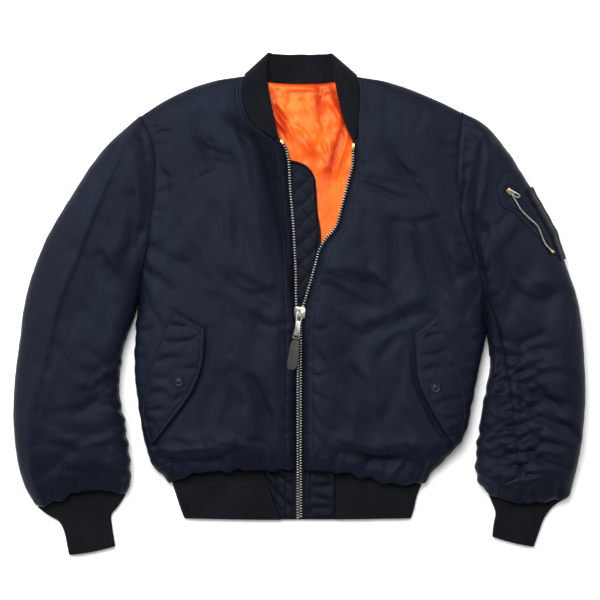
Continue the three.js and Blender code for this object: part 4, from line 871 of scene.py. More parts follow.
# Back: its silhouettes roll up at the sides and shoulders, and its underside rests flat
backSizes = {"columns": 120, "rows": 130, "wall": 1.8, "roll": 17, "slack": 0.9}
backCreases = [
    (-150, 250, -110, 120, 8, 7, 1.6), (-60, 280, -72, 150, -8, 7, 1.4), (40, 290, 28, 170, 6, 7, 1.4),
    (150, 260, 120, 140, -8, 7, 1.6), (-200, 90, -130, 40, 8, 6, 1.8), (214, 80, 140, 30, -8, 6, 1.8),
    (-120, 40, -60, -30, 6, 6, 1.5), (120, 20, 50, -50, -6, 6, 1.5), (-200, -40, -120, -80, 6, 6, 1.6),
    (210, -60, 130, -100, -6, 6, 1.6), (-90, -90, -60, -180, 6, 6, 1.5), (0, -60, 10, -170, 5, 6, 1.4),
    (80, -100, 60, -190, -5, 6, 1.5), (-170, -150, -120, -210, 5, 6, 1.6), (160, -150, 120, -214, -5, 6, 1.6),
    (-20, 120, 20, 40, 6, 7, 1.2), (-40, 200, 30, 190, 5, 7, 1.2),
]
backPuckers = {"from": 0.03, "to": 0.97, "pitch": 0.034, "length": 38, "width": 4, "height": -2, "turn": 0.35}


def backPoints():
    rightShare, leftShare = 0.32, 0.67
    armRight, armLeft = 0.48, 0.4

    def top(u):
        u = np.asarray(u, float)
        right = curves["shoulderRight"](u / rightShare)
        neck = curves["backNeck"]((u - rightShare) / (leftShare - rightShare))
        left = backwards(curves["shoulderLeft"])((u - leftShare) / (1 - leftShare))
        spot = np.where((u < leftShare)[..., None], neck, left)
        return np.where((u < rightShare)[..., None], right, spot)

    def bottom(u):
        x = -187 + 369 * np.asarray(u, float)
        return np.stack([x, alongTable(hemSeam, x)], -1)

    left = joined(curves["sideRight"], curves["armholeRight"], armRight)
    right = joined(curves["sideLeft"], curves["armholeLeft"], armLeft)
    u, v = np.meshgrid(crowded(backSizes["columns"]), crowded(backSizes["rows"], 0.6))
    x, y, (toLeft, toRight, toBottom, toTop) = patch(left, right, bottom, top)(u, v)
    share = np.where(u < 0.5, armRight, armLeft)
    belowArmhole = 1 - smoothStep(v, share - 0.02, share + 0.06)
    sideRoll = (1 - rise(np.minimum(toLeft, toRight), backSizes["roll"])) * belowArmhole
    onShoulder = np.maximum(1 - smoothStep(u, rightShare - 0.09, rightShare), smoothStep(u, leftShare, leftShare + 0.09))
    topRoll = (1 - rise(toTop, backSizes["roll"])) * onShoulder
    middle = bodyMiddle(y)
    rows = backCreases + puckers(bottom, 1, backPuckers, 31)
    held = rise(np.minimum(np.minimum(toLeft, toRight), np.minimum(toBottom, toTop)), 24)
    creases = np.maximum(creaseHeight(rows, x, y) + 0.6 * crumple(x, y, (40, 60), 33.3), 0) * held
    low = np.maximum(sideRoll, topRoll) * np.minimum(level["body"] - seamWall, middle - seamWall) + creases
    slack = backSizes["slack"] * smoothStep(y, -262, -250) * (1 - smoothStep(y, -200, -190))
    return turnedDown(np.stack([x, y, low], -1), middle - seamGap / 2 - slack)


backMesh = gridMesh("shell_back", backPoints())
backMesh.flip_normals()
back = thicken(place("shell_back", backMesh, looks["nylon"], replaces=["back"]), backSizes["wall"])
print("back made")


# Sleeves: an upper piece, and an under piece that wraps up over one silhouette to the visible seam
sleeveSizes = {
    "upperColumns": 74, "wrapColumns": 34, "hiddenColumns": 56, "rows": 170, "wall": 1.8, "roll": 18,
    "seamDip": 1.1, "seamRadius": 3.2, "head": 0.56, "blouse": 6, "armholeGap": 0.4, "creases": 0.65, "facets": [((44, 76), 1.5), ((24, 38), 0.4)],
}
# The armpit entry gives a spot of painted shade: its middle x and y, width and length
sleeveParts = {
    "Right": {
        "wrapped": "outerRight", "far": "innerRight", "cuff": "cuffSeamRight", "calm": 0.6, "sunkAndPaintedShade": (-245, 22, 15, 46), "seamLine": -2.6, "groove": 0.2, "armpitFirst": False,
        "seam": [(0, 0.03), (0.15, 0.13), (0.35, 0.24), (0.55, 0.23), (0.75, 0.15), (1, 0.1)], "seed": 12,
    },
    "Left": {
        "wrapped": "innerLeft", "far": "outerLeft", "cuff": "cuffSeamLeft", "calm": 1, "sunkAndPaintedShade": (276, -6, 15, 50), "seamLine": 2.2, "groove": 0.8, "armpitFirst": True,
        "seam": [(0, 0.16), (0.2, 0.22), (0.4, 0.28), (0.7, 0.36), (0.9, 0.43), (1, 0.43)], "seed": 17,
    },
}
sleeveFolds = {
    "Right": [
        (-286, 69, -268, 35, 9, -5), (-230, 104, -261, 35, 10, -6), (-249, 91, -286, 60, 10, 3),
        (-241, 156, -233, 81, 9, -5), (-268, -81, -302, -109, 9, -6), (-264, -109, -293, -134, 9, -6),
        (-271, -146, -318, -159, 9, -5), (-280, -93, -311, -115, 8, 4), (-318, -15, -361, -90, 16, -3),
        (-343, -53, -380, -178, 16, 3), (-261, -178, -311, -197, 9, -4), (-330, -215, -368, -247, 10, -4),
        (-280, -215, -293, -265, 10, -4),
    ],
    "Left": [
        (258, 235, 239, 148, 10, -6), (277, 229, 258, 135, 10, 4), (271, 104, 252, 60, 10, -5),
        (308, 110, 271, 60, 12, 3), (333, 48, 302, -15, 14, -3), (377, 35, 346, -53, 14, -3),
        (339, -115, 377, -153, 9, -5), (343, -146, 402, -190, 9, -5), (283, -197, 318, -234, 9, -4),
        (339, -215, 390, -228, 9, -4),
    ],
}
sleeveCreases = {
    "Right": [
        (-228, 244, -224, 182, 3, 4.5, -2.2), (-320, 76, -286, 46, 4, 5, -2), (-280, 38, -276, -28, 5, 5, -2),
        (-312, -94, -268, -112, 4, 4.5, -2.6), (-318, -132, -270, -144, -4, 4.5, -2.6), (-300, -110, -268, -128, 3, 4, -2.4),
        (-368, -202, -324, -214, 4, 5, -2), (-356, -238, -286, -236, -5, 5, -2.2), (-374, -166, -312, -152, 5, 5, -1.8),
        (-310, -166, -264, -160, 3, 4, -2.2), (-300, -206, -262, -196, -3, 4.5, -2), (-330, 12, -300, -30, 4, 5, -1.8),
        (-262, 20, -252, -20, -3, 4.5, -2), (-300, 130, -270, 100, 4, 6, -1.6), (-264, 170, -246, 120, -4, 5, -1.8),
        (-350, -60, -330, -120, 5, 6, -1.5), (-386, -120, -372, -176, 4, 5, -1.6), (-340, 60, -322, 10, 4, 6, -1.4),
        (-322, -60, -286, -84, 4, 4.5, -2), (-346, -254, -318, -262, 2, 4, -2), (-286, -242, -264, -256, 2, 4, -2),
        (-270, 214, -252, 180, 3, 5, -1.5), (-360, -216, -340, -250, 3, 4.5, -1.8), (-312, -180, -350, -190, 3, 4.5, -1.6),
    ],
    "Left": [
        (283, 112, 302, 136, -3, 4.5, -2), (258, 10, 276, -40, 4, 4.5, -2.2), (316, 48, 370, 17, -5, 5, -2),
        (302, -3, 330, -52, 4, 5, -2), (352, -15, 376, -90, -6, 6, -1.8), (284, -146, 312, -158, 3, 4, -2),
        (276, -200, 316, -178, -4, 4.5, -2.2), (339, -126, 398, -146, -5, 4.5, -2.4), (335, -196, 394, -214, 4, 4.5, -2.4),
        (340, -164, 400, -178, -4, 4.5, -2.2), (348, -246, 392, -252, 3, 4.5, -2), (276, -110, 306, -128, 3, 4, -2),
        (288, 80, 272, 40, -3, 4.5, -2), (300, 60, 290, 10, 4, 5, -1.8), (388, 20, 396, -40, 3, 5, -1.6),
        (344, 70, 364, 40, 3, 5, -1.6), (270, 190, 262, 140, -3, 5, -1.8), (262, 120, 276, 86, 3, 4.5, -2),
        (300, 200, 286, 168, 3, 5, -1.5), (362, -100, 404, -112, 4, 5, -1.8), (272, -60, 300, -84, 4, 4.5, -1.8),
        (330, 10, 352, -26, 4, 5, -1.6), (282, -232, 312, -250, 3, 4, -2), (268, -222, 292, -232, 2, 4, -1.8),
    ],
}
sleeveCurved = {
    "Right": [
        ([(-262, -84), (-284, -92), (-300, -110)], 5, -3.6), ([(-258, -108), (-280, -112), (-306, -130)], 5, -3.8),
        ([(-256, -132), (-284, -138), (-312, -152)], 5, -3.4), ([(-258, -96), (-284, -102), (-300, -118)], 4, 2),
        ([(-238, 128), (-246, 84), (-258, 40), (-262, 6)], 7, -3.4),
        ([(-288, 74), (-270, 52), (-250, 38)], 5, -3.4), ([(-306, 60), (-296, 20), (-300, -24)], 8, -2.8),
        ([(-352, -222), (-330, -238), (-300, -244), (-276, -238)], 6, -3.2),
        ([(-368, -178), (-330, -196), (-296, -196)], 9, 2.4),
    ],
    "Left": [
        ([(322, -60), (344, -66), (372, -62)], 5, -3), ([(322, -84), (350, -98), (380, -96)], 5, -3.6),
        ([(322, -112), (346, -132), (386, -140)], 5, -4), ([(324, -140), (352, -164), (394, -176)], 6, -4.2),
        ([(325, -172), (350, -196), (392, -206)], 6, -4.2), ([(328, -206), (350, -226), (384, -236)], 5, -3.8),
        ([(318, -72), (296, -80), (272, -78)], 5, -2.8), ([(317, -104), (292, -116), (268, -112)], 5, -3.2),
        ([(317, -138), (290, -150), (262, -146)], 5, -3.2), ([(318, -176), (292, -186), (262, -184)], 5, -3.4),
        ([(320, -212), (296, -224), (266, -222)], 5, -3.2), ([(296, 60), (316, 20), (350, 6), (384, 22)], 8, -3.4),
        ([(306, 40), (338, 30), (372, 40)], 8, 2.6), ([(262, 216), (252, 160), (250, 110), (262, 60)], 7, -3.4),
    ],
}
sleevePuckers = {
    "cuff": {"from": 0.04, "to": 0.96, "pitch": 0.075, "length": 26, "width": 3.6, "height": 2.2, "turn": 0.5},
    "armhole": {"from": 0.04, "to": 0.98, "pitch": 0.06, "length": 20, "width": 3.6, "height": 1.4, "turn": 0.5},
    "inside": {"from": 0.2, "to": 0.95, "pitch": 0.04, "length": 20, "width": 3.6, "height": 1.7, "turn": 0.6},
    "seam": {"from": 0.05, "to": 0.98, "pitch": 0.05, "length": 15, "width": 3, "height": 0.8, "turn": 0.6},
    "gathers": {"from": 0.46, "to": 0.99, "pitch": 0.02, "length": 26, "width": 2.6, "height": 2.4, "turn": 0.5},
}
gather = {"x": 321, "from": -55, "to": -255, "pitch": 20, "reach": 30, "rise": 12, "width": 7, "height": -4}
for y in range(gather["from"], gather["to"], -gather["pitch"]):
    outer = (gather["x"] + 2, y, gather["x"] + gather["reach"], y + gather["rise"])
    inner = (gather["x"] - 2, y - 6, gather["x"] - gather["reach"], y + gather["rise"] - 10)
    for row in (outer, inner):
        sleeveFolds["Left"].append((*row, gather["width"], gather["height"]))


def sleevePlan(side):
    part = sleeveParts[side]
    move = -sleeveSizes["armholeGap"] if side == "Right" else sleeveSizes["armholeGap"]
    armhole = curves["armhole" + side]
    if side == "Right":
        armhole = backwards(armhole)
    beside = lambda share: armhole(share) + np.array([move, 0])
    return patch(curves[part["wrapped"]], curves[part["far"]], beside, curves[part["cuff"]])


def sleeveSeam(side):
    plan = sleevePlan(side)

    def curve(share):
        x, y, _ = plan(alongTable(sleeveParts[side]["seam"], share), share)
        return np.stack([x, y], -1)
    return curve


def sleeveShape(side, u, v):
    part, sizes = sleeveParts[side], sleeveSizes
    x, y, (toWrap, toFar, toHead, toCuff) = sleevePlan(side)(u, v)
    seamAt = alongTable(part["seam"], v)
    middle = level["cuff"] + (level["sleeve"] - level["cuff"]) * (1 - smoothStep(v, 0.86, 0.99))
    nearArmpit = 1 - smoothStep(u, 0, 0.3) if part["armpitFirst"] else smoothStep(u, 0.7, 1)
    headRise = rise(toHead, rounding["sleeveHead"])
    softHead = sizes["head"] + (1 - sizes["head"]) * smoothStep(toHead, 0, 38)
    puff = rise(toWrap, rounding["sleeveSide"]) * rise(toFar, rounding["sleeveSide"]) * rise(toCuff, rounding["cuff"])
    puff = puff * (headRise * nearArmpit + softHead * (1 - nearArmpit))
    nearest = np.minimum(np.minimum(toWrap, toFar), np.minimum(toHead, toCuff))
    held = rise(nearest, 16)
    width = toWrap + toFar
    seamDip = part["seamLine"] * np.exp(-(((u - seamAt) * width / 7) ** 2)) * held
    low = middle + seamGap / 2
    seed = part["seed"]
    fine = sizes["creases"] * creaseHeight(sleeveCreases[side], x, y)
    sign = -1 if side == "Right" else 1
    rows = puckers(curves[part["cuff"]], 1, sleevePuckers["cuff"], seed)
    rows += puckers(curves["armhole" + side], sign * -1, sleevePuckers["armhole"], seed + 1)
    rows += puckers(curves["inner" + side], 1 if side == "Left" else -1, sleevePuckers["inside"], seed + 2)
    seamKind = "gathers" if side == "Left" else "seam"
    for direction in (1, -1):
        rows += puckers(sleeveSeam(side), direction, sleevePuckers[seamKind], seed + 4 + direction)
    fine += creaseHeight(rows, x, y)
    for scales, height in sizes["facets"]:
        fine += height * faceted(x + y / 5, y, scales, seed + scales[0])
    folds = foldHeight(sleeveFolds[side], x, y) + curvedHeight(sleeveCurved[side], x, y)
    high = low + seamWall + loft["sleeve"] * puff + part["calm"] * folds * held - seamDip
    high += part["calm"] * fine * rise(nearest, 9)
    high -= sizes["seamDip"] * np.exp(-((toHead / sizes["seamRadius"]) ** 2)) * (1 - nearArmpit)
    high -= part["groove"] * np.exp(-(((u - seamAt) * width / 1.8) ** 2)) * held
    ground = np.maximum(1 - rise(np.minimum(toWrap, toFar), sizes["roll"]), 1 - smoothStep(toCuff, 0, 9))
    ground = ground * (middle - seamWall)
    blouse = sizes["blouse"] * (1 + 0.7 * crumple(x, np.zeros_like(x), (13, 1), seed + 20))
    y = y - blouse * np.exp(-(((toCuff - 5) / 7) ** 2)) * smoothStep(toCuff, 0, 3) * rise(np.minimum(toWrap, toFar), 10)
    return x, y, np.maximum(high, low + 2.4), ground, middle


def sleeveUpper(side):
    part, sizes = sleeveParts[side], sleeveSizes
    v = crowded(sizes["rows"], 0.5)[:, None]
    seam = alongTable(part["seam"], v)
    u = seam + 0.0003 + (1 - seam - 0.0003) * crowded(sizes["upperColumns"])[None, :]
    x, y, high, _, middle = sleeveShape(side, u, np.broadcast_to(v, u.shape))
    return turnedDown(np.stack([x, y, high], -1), middle + seamGap / 2)


def sleeveUnder(side):
    part, sizes = sleeveParts[side], sleeveSizes
    v = crowded(sizes["rows"], 0.5)[:, None]
    seam = alongTable(part["seam"], v)
    wrapU = (seam - 0.0002) * (1 - crowded(sizes["wrapColumns"])[None, :])
    x, y, high, ground, middle = sleeveShape(side, wrapU, np.broadcast_to(v, wrapU.shape))
    wrap = np.stack([x, y, high], -1)
    hiddenU = np.broadcast_to(crowded(sizes["hiddenColumns"], 0.85)[None, :], (len(v), sizes["hiddenColumns"] + 1))
    x, y, _, ground, middle = sleeveShape(side, hiddenU, np.broadcast_to(v, hiddenU.shape))
    creases = np.maximum(0.9 * crumple(x, y, (24, 34), part["seed"] + 40.5), 0)
    edge = np.minimum(hiddenU, 1 - hiddenU)
    hidden = np.stack([x, y, ground + creases * smoothStep(edge, 0.08, 0.2)], -1)
    tip = hidden[:, -1:].copy()
    tip[..., 2] = middle[:, -1:] - seamGap / 2
    start = wrap[:, :1].copy()
    start[..., 2] -= 3
    points = np.concatenate([start, wrap, hidden, tip], axis=1)
    first, last = points[:1].copy(), points[-1:].copy()
    first[..., 2], last[..., 2] = middle[0, 0], middle[-1, 0]
    return np.concatenate([first, points, last], axis=0)


# Painted shade on the sleeves: darker at the armpits and in their main troughs
def sleevePaintedShade(side):
    troughs = [row for row in sleeveCurved[side] if row[2] < 0]
    middleX, middleY, width, length = sleeveParts[side]["sunkAndPaintedShade"]

    def paintedShadeOf(points):
        x, y = points[:, 0], points[:, 1]
        paintedShade = 0.35 * np.clip(-curvedHeight(troughs, x, y) / 5, 0, 1)
        paintedShade += 0.7 * np.exp(-(((x - middleX) / width) ** 2) - ((y - middleY) / length) ** 2)
        return np.clip(paintedShade, 0, 1)
    return paintedShadeOf


sleeves = {}
for side in ("Right", "Left"):
    name = "sleeve_" + side.lower()
    mesh = marked(gridMesh("shell_" + name + "_upper", sleeveUpper(side)), sleevePaintedShade(side))
    upper = place("shell_" + name + "_upper", mesh, looks["nylon"], replaces=[name + "_upper"])
    mesh = marked(gridMesh("shell_" + name + "_under", sleeveUnder(side), upAt=(0.5, 0.1)), sleevePaintedShade(side))
    under = place("shell_" + name + "_under", mesh, looks["nylon"], replaces=[name + "_under"])
    sleeves[side] = {"upper": thicken(upper, sleeveSizes["wall"]), "under": thicken(under, sleeveSizes["wall"])}
sleeveTrees = {side: [treeOver(piece) for piece in pair.values()] for side, pair in sleeves.items()}
print("sleeves made")


# Strips of seam allowance under the open seams, so that no floor shows through them
def seamStrip(name, curve, height, half=7, shares=(0, 1)):
    share = np.linspace(*shares, 90)
    columns = [shifted(curve, offset)(share) for offset in (-half, 0, half)]
    heights = np.broadcast_to(height, 90)[:, None]
    points = np.stack([np.concatenate([spot, heights], -1) for spot in columns], 1)
    return thicken(place(name, gridMesh(name, points), looks["nylon"]), 1.2)


zipEnds = {
    "Right": [(-23.5, 218), (-27, 228), (-32, 236), (-39, 244), (-48, 250)],
    "Left": [(84, 206), (85.5, 220), (85.5, 232), (84, 243), (86, 256)],
}
for side in ("Right", "Left"):
    seamStrip("seam_armhole_" + side.lower(), curves["armhole" + side], 12, shares=(0.03, 0.97))
    share = np.linspace(0.03, 0.97, 90)
    besides = [shifted(curves["armhole" + side], offset)(share) for offset in (-1.6, 1.6)]
    trees = [frontTrees[side], *sleeveTrees[side]]
    tops = np.minimum(*[heightsAt(trees, spots[:, 0], spots[:, 1], 17) for spots in besides])
    seamStrip("seam_filler_" + side.lower(), curves["armhole" + side], tops - 0.7, 0.9, (0.03, 0.97))
    seamStrip("seam_neck_" + side.lower(), curves["collarSeam" + side], 20.5, 8, shares=(0, 0.97))
    seamStrip("seam_zip_" + side.lower(), curveThrough(zipEnds[side]), 22, 6.5)


# Lining where the open neck shows it
lining = {"low": 15.15, "wall": 1.4, "columns": 70, "rows": 110, "most": 3.4, "crumple": 1.1, "deeper": 1.7, "edgeDrop": 3}
liningFolds = [
    (-44, 282, -14, 246, 6, 2.2), (-26, 308, 26, 311, 5, 1.6), (32, 300, 32, 258, 6, 1.8), (66, 255, 47, 200, 6, 2.2),
    (10, 290, 22, 240, 8, 1.4), (-4, 262, 14, 224, 6, 1.4), (48, 232, 44, 176, 6, 1.6), (44, 300, 62, 268, 6, 1.6),
]
liningCreases = [
    (-43, 292, -12, 256, 4, 3.2, -1.5), (-36, 276, -20, 250, -3, 2.4, -1.2), (-26, 307, 26, 310, 1.5, 2.2, -1.2),
    (32, 302, 33, 262, -2, 2.4, -1.4), (66, 252, 47, 196, 4, 3, -1.6), (58, 232, 50, 200, -2, 2.4, -1),
    (-30, 314, -22, 300, 1, 2, -0.8), (0, 300, 12, 286, 3, 2.4, -0.9), (12, 292, 20, 264, -3, 2.6, -0.9),
    (40, 292, 54, 270, 2, 2.4, -1), (-8, 258, 6, 238, 3, 2.6, -1), (-30, 258, -18, 236, 2, 2.4, -1),
    (36, 244, 44, 214, -2, 2.4, -0.9), (52, 300, 66, 286, 2, 2.2, -0.9), (22, 232, 34, 206, 2, 2.6, -0.9),
]
liningCurved = [
    ([(-43, 316), (-38, 296), (-28, 274), (-14, 254)], 6, -3.2), ([(-40, 300), (-32, 276), (-20, 256)], 5, 2.6),
    ([(-36, 268), (-14, 260), (6, 252), (18, 236)], 5.5, 2.8), ([(32, 318), (30, 296), (34, 274), (36, 256)], 4, -2.6),
    ([(18, 316), (30, 308), (44, 312), (58, 306)], 3.6, 2.2), ([(-30, 312), (0, 309), (30, 311)], 3, -1.2),
    ([(66, 262), (58, 236), (50, 206), (44, 172)], 4.5, -2.8), ([(72, 250), (62, 220), (54, 186)], 4.5, 2.4),
    ([(50, 300), (60, 284), (64, 262)], 5, 2.4), ([(2, 240), (16, 226), (34, 222)], 5, 2.4),
]
liningShaded = [
    ([(-46, 330), (0, 325), (50, 330)], 9, 2.4), ([(-50, 320), (-42, 290), (-34, 262), (-28, 240)], 8, 2.6),
    ([(40, 322), (56, 300), (66, 276), (78, 250)], 9, 2.2), ([(-30, 262), (-6, 246), (10, 238), (24, 218)], 7, 2.2),
    ([(28, 300), (40, 286), (46, 262)], 5, 1.6), ([(46, 232), (40, 200), (36, 170)], 5, 1.4),
    ([(20, 316), (34, 309), (50, 308)], 3, 2),
]
liningPlan = patch(
    curveThrough([(-22, 10), (-26, 100), (-30, 150), (-38, 212), (-52, 250), (-60, 296), (-64, 329)]),
    curveThrough([(22, 10), (45, 60), (62, 100), (84, 150), (96, 190), (98, 230), (90, 262), (76, 296), (66, 328)]),
    curveThrough([(-22, 10), (22, 10)]),
    curveThrough([(-64, 329), (-40, 323.5), (1, 321.5), (45, 323.5), (66, 328)]),
)


def liningPoints():
    u, v = np.meshgrid(np.linspace(0, 1, lining["columns"]), np.linspace(0, 1, lining["rows"]))
    x, y, (toLeft, toRight, _, toTop) = liningPlan(u, v)
    shown = smoothStep(np.minimum(toLeft, toRight), 14, 26) * smoothStep(y + x / 3, 190, 214)
    wrinkle = np.clip(foldHeight(liningFolds, x, y), 0, lining["most"])
    wrinkle += lining["deeper"] * creaseHeight(liningCreases, x, y) + curvedHeight(liningCurved, x, y)
    wrinkle += lining["crumple"] * crumple(x, y, (12, 19), 51.5) + 0.4 * crumple(x, y, (5, 8), 52.5)
    z = lining["low"] + lining["wall"] + (0.8 + wrinkle) * shown - lining["edgeDrop"] * (1 - rise(toTop, 7))
    return np.stack([x, y, z], -1)


# Painted shade for the lining's colour, from how deep each point lies in its troughs and from the shaded bands listed
# above
def liningPaintedShadeOf(points):
    x, y = points[..., 0], points[..., 1]
    total = np.zeros_like(x)
    for rows, width, height in liningCurved:
        if height < 0:
            total -= curvedHeight([(rows, 1.5 * width, height)], x, y)
    for rows, width, height in liningShaded:
        total += curvedHeight([(rows, width, height)], x, y)
    total -= creaseHeight(liningCreases, x, y) * 0.5
    return np.clip(total / 3, 0, 1)


liningMesh = marked(gridMesh("shell_lining_back", liningPoints()), liningPaintedShadeOf)
liningPiece = thicken(place("shell_lining_back", liningMesh, looks["lining"], replaces=["lining_back"]), 0.8)

# Quilted wind flap behind the zip
windFlap = {"low": 17, "wall": 1.4, "quilt": 2.4, "pitch": 28, "columns": 60, "rows": 150}
windFlapPlan = patch(
    curveThrough([(-30, -25), (-30, 150), (-24, 212)]),
    curveThrough([(28, -25), (31, 60), (32, 105), (28, 130), (26, 160), (24, 182)]),
    curveThrough([(-30, -25), (28, -25)]),
    curveThrough([(-24, 212), (-2, 208), (11, 202), (19, 193), (24, 182)]),
)


def windFlapPoints():
    u, v = np.meshgrid(crowded(windFlap["columns"], 0.6), crowded(windFlap["rows"], 0.5))
    x, y, (toLeft, toRight, _, toTop) = windFlapPlan(u, v)
    lines = [np.abs(np.sin(math.pi * total / windFlap["pitch"])) for total in (x + y, x - y)]
    border = np.minimum(toRight, toTop)
    quilt = np.sqrt(np.sqrt(lines[0] * lines[1])) * smoothStep(border, 4, 9)
    quilt += 0.9 * rise(border, 2) * (1 - smoothStep(border, 3, 5))
    z = windFlap["low"] + windFlap["wall"] * rise(border, 2) + windFlap["quilt"] * quilt
    z += 0.5 * crumple(x, y, (7, 10), 61.5) * smoothStep(border, 2, 8)
    return np.stack([x, y, z], -1)


# The wind flap takes the darker nylon, painted shade behind the zip
windFlapPiece = thicken(place("shell_wind_flap", gridMesh("shell_wind_flap", windFlapPoints()), looks["quilt"],
                              replaces=["wind_flap"]), 1.2)
print("lining and wind flap made")


# Knitted bands: lines of points run from the seam to the free edge, and a wall of even thickness wraps them
def bandPoints(lines, wall, isLoop, flats=12, turns=6):
    if isLoop:
        forward = np.roll(lines, -1, 0) - np.roll(lines, 1, 0)
    else:
        forward = np.gradient(lines, axis=0)
    normal = np.cross(np.gradient(lines, axis=1), forward)
    normal /= np.linalg.norm(normal, axis=-1, keepdims=True)
    width = np.linalg.norm(np.diff(lines, axis=1), axis=-1).sum(1)
    half = wall / 2
    flat = np.linspace(0, 1, flats + 1)
    angle = np.linspace(0, math.pi, turns + 1)[1:-1]
    ring = [(share, 0, 1) for share in flat]
    ring += [(1, math.sin(a), math.cos(a)) for a in angle]
    ring += [(share, 0, -1) for share in flat[::-1]]
    ring += [(0, -math.sin(a), -math.cos(a)) for a in angle]
    ring.append(ring[0])
    steps = lines.shape[1] - 1
    made = []
    for share, out, up in ring:
        place = (half + share * (width - 2 * half) + out * half) / width * steps
        index = np.clip(place.astype(int), 0, steps - 1)
        part = (place - index)[:, None]
        rows = np.arange(len(lines))
        spot = lines[rows, index] * (1 - part) + lines[rows, index + 1] * part
        turned = normal[rows, index] * (1 - part) + normal[rows, index + 1] * part
        made.append(spot + turned * half * up)
    points = np.stack(made, 0)
    if isLoop:
        points = np.concatenate([points, points[:, :1]], 1)
    return points


ribWall = 4.6
collar = {"stations": 230, "steps": 13, "clear": 0.4, "neckClear": 1.0, "bulge": 2.4, "wave": 0.7}
collarStations = [
    # seam, share along it, free edge x and y, height at the seam and at the edge
    ("Right", 0.04, -31, 244, 27, 26), ("Right", 0.18, -33, 258, 27, 24), ("Right", 0.36, -37, 276, 27.3, 22.6),
    ("Right", 0.54, -41, 296, 27.8, 22), ("Right", 0.72, -45, 318, 28, 22), ("Right", 0.88, -47, 340, 27.5, 22.4),
    ("Right", 0.98, -46, 356, 24, 21), ("neck", 0, -43, 366.5, 17.5, 14.5), ("neck", 0.06, -37, 366.5, 11.5, 8.5),
    ("neck", 0.2, -26, 366, 9.5, 6), ("neck", 0.36, -12, 365.5, 9, 5), ("neck", 0.5, 3, 366, 9, 5),
    ("neck", 0.64, 16, 365.5, 9, 5), ("neck", 0.8, 30, 366, 9.5, 6), ("neck", 0.94, 41, 366, 11.5, 8.5),
    ("neck", 1, 46, 365.5, 17.5, 14.5), ("Left", 0.98, 49, 356, 24, 21), ("Left", 0.88, 50, 340, 27.5, 22.4),
    ("Left", 0.7, 54, 316, 28, 22), ("Left", 0.5, 59, 291, 27.8, 22), ("Left", 0.3, 66, 266, 27.3, 22.6),
    ("Left", 0.14, 73, 249, 27, 24.4), ("Left", 0.03, 78, 241, 27, 26),
]


def collarLines():
    seams = {
        "Right": shifted(curves["collarSeamRight"], -collar["clear"]),
        "neck": shifted(curves["backNeck"], collar["neckClear"]),
        "Left": shifted(curves["collarSeamLeft"], collar["clear"]),
    }
    seamRows, edgeRows, bulge = [], [], []
    for seam, share, edgeX, edgeY, seamZ, edgeZ in collarStations:
        seamRows.append((*seams[seam](share), seamZ))
        edgeRows.append((edgeX, edgeY, edgeZ))
        bulge.append(0 if seam == "neck" else collar["bulge"])
    share = np.linspace(0, 1, collar["stations"])
    start = curveThrough(seamRows, byRow=True)(share)[:, None, :]
    end = curveThrough(edgeRows, byRow=True)(share)[:, None, :]
    across = np.linspace(0, 1, collar["steps"])[None, :, None]
    lines = start + (end - start) * across
    bulges = np.interp(share, np.linspace(0, 1, len(bulge)), bulge)[:, None]
    lines[..., 2] += bulges * np.sin(math.pi * across[..., 0])
    lines[..., 2] += collar["wave"] * crumple(lines[..., 0], lines[..., 1], (22, 30), 71.5) * across[..., 0]
    return lines


def bandPiece(name, lines, isLoop=False):
    mesh = gridMesh("shell_" + name, bandPoints(lines, ribWall, isLoop), isClosed=True)
    return place("shell_" + name, mesh, looks["rib"], replaces=[name])


collarPiece = bandPiece("collar", collarLines())

# Hem and cuffs lie flat and double
ribSizes = {"frontZ": 8, "backZ": 2.75, "bottom": -314, "steps": 13, "turns": 8, "hemClear": 1.4, "cuffClear": 1}
ribHalf = (ribSizes["frontZ"] - ribSizes["backZ"]) / 2
ribInset = ribWall / 2 + ribHalf
placketInner = {"Right": -5.8, "Left": 6.8}
hemWaves = 0.55


# The nylon beside the zip narrows downwards on the right front
def placketOuter(side, down):
    return -54.5 + 27 * np.asarray(down, float) ** 1.2 if side == "Right" else 55 - 1.5 * np.asarray(down, float)


# Where a station lies across the width, and its height: front layer, turns and back layer
def ribStations(frontCount, backCount):
    middle = (ribSizes["frontZ"] + ribSizes["backZ"]) / 2
    angles = np.linspace(0, math.pi, ribSizes["turns"] + 1)[1:-1]
    rows = [("left", share, ribSizes["frontZ"]) for share in np.linspace(0, 1, frontCount)]
    rows += [("leftTurn", math.sin(a), middle + ribHalf * math.cos(a)) for a in angles]
    rows += [("back", share, ribSizes["backZ"]) for share in np.linspace(0, 1, backCount)]
    rows += [("rightTurn", math.sin(a), middle - ribHalf * math.cos(a)) for a in angles]
    return rows


def ribLines(plan, stations, placeOf, seed):
    share = np.linspace(0, 1, ribSizes["steps"])
    leftX, _, (_, width, _, _) = plan(0.0, share)
    lines = []
    for kind, value, z in stations:
        x, y, _ = plan(placeOf(kind, value, leftX, width, share) / width, share)
        wave = hemWaves * crumple(x, y, (9, 40), seed) * (1 if z == ribSizes["frontZ"] else 0)
        lines.append(np.stack([x, y, z + wave], -1))
    return np.array(lines)


def inTurn(kind, value, width):
    inside = ribInset - ribHalf * value
    if kind == "leftTurn":
        return inside + 0 * width
    if kind == "rightTurn":
        return width - inside
    return ribInset + (width - 2 * ribInset) * value


def hemPlace(kind, value, leftX, width, down):
    if kind == "left":
        start = placketOuter("Right", down) + 1 - leftX
        return start + (ribInset - start) * value
    if kind == "right":
        end = placketOuter("Left", down) - 1 - leftX
        return (width - ribInset) + (end - width + ribInset) * value
    return inTurn(kind, value, width)


def cuffPlace(kind, value, leftX, width, _):
    if kind == "left":
        return (width - ribInset) + (2 * ribInset - width) * value
    return inTurn(kind, value, width)


def hemBottom(u):
    x = -187 + 369 * np.asarray(u, float)
    return np.stack([x, alongTable(hemSeam, x) - ribSizes["hemClear"]], -1)


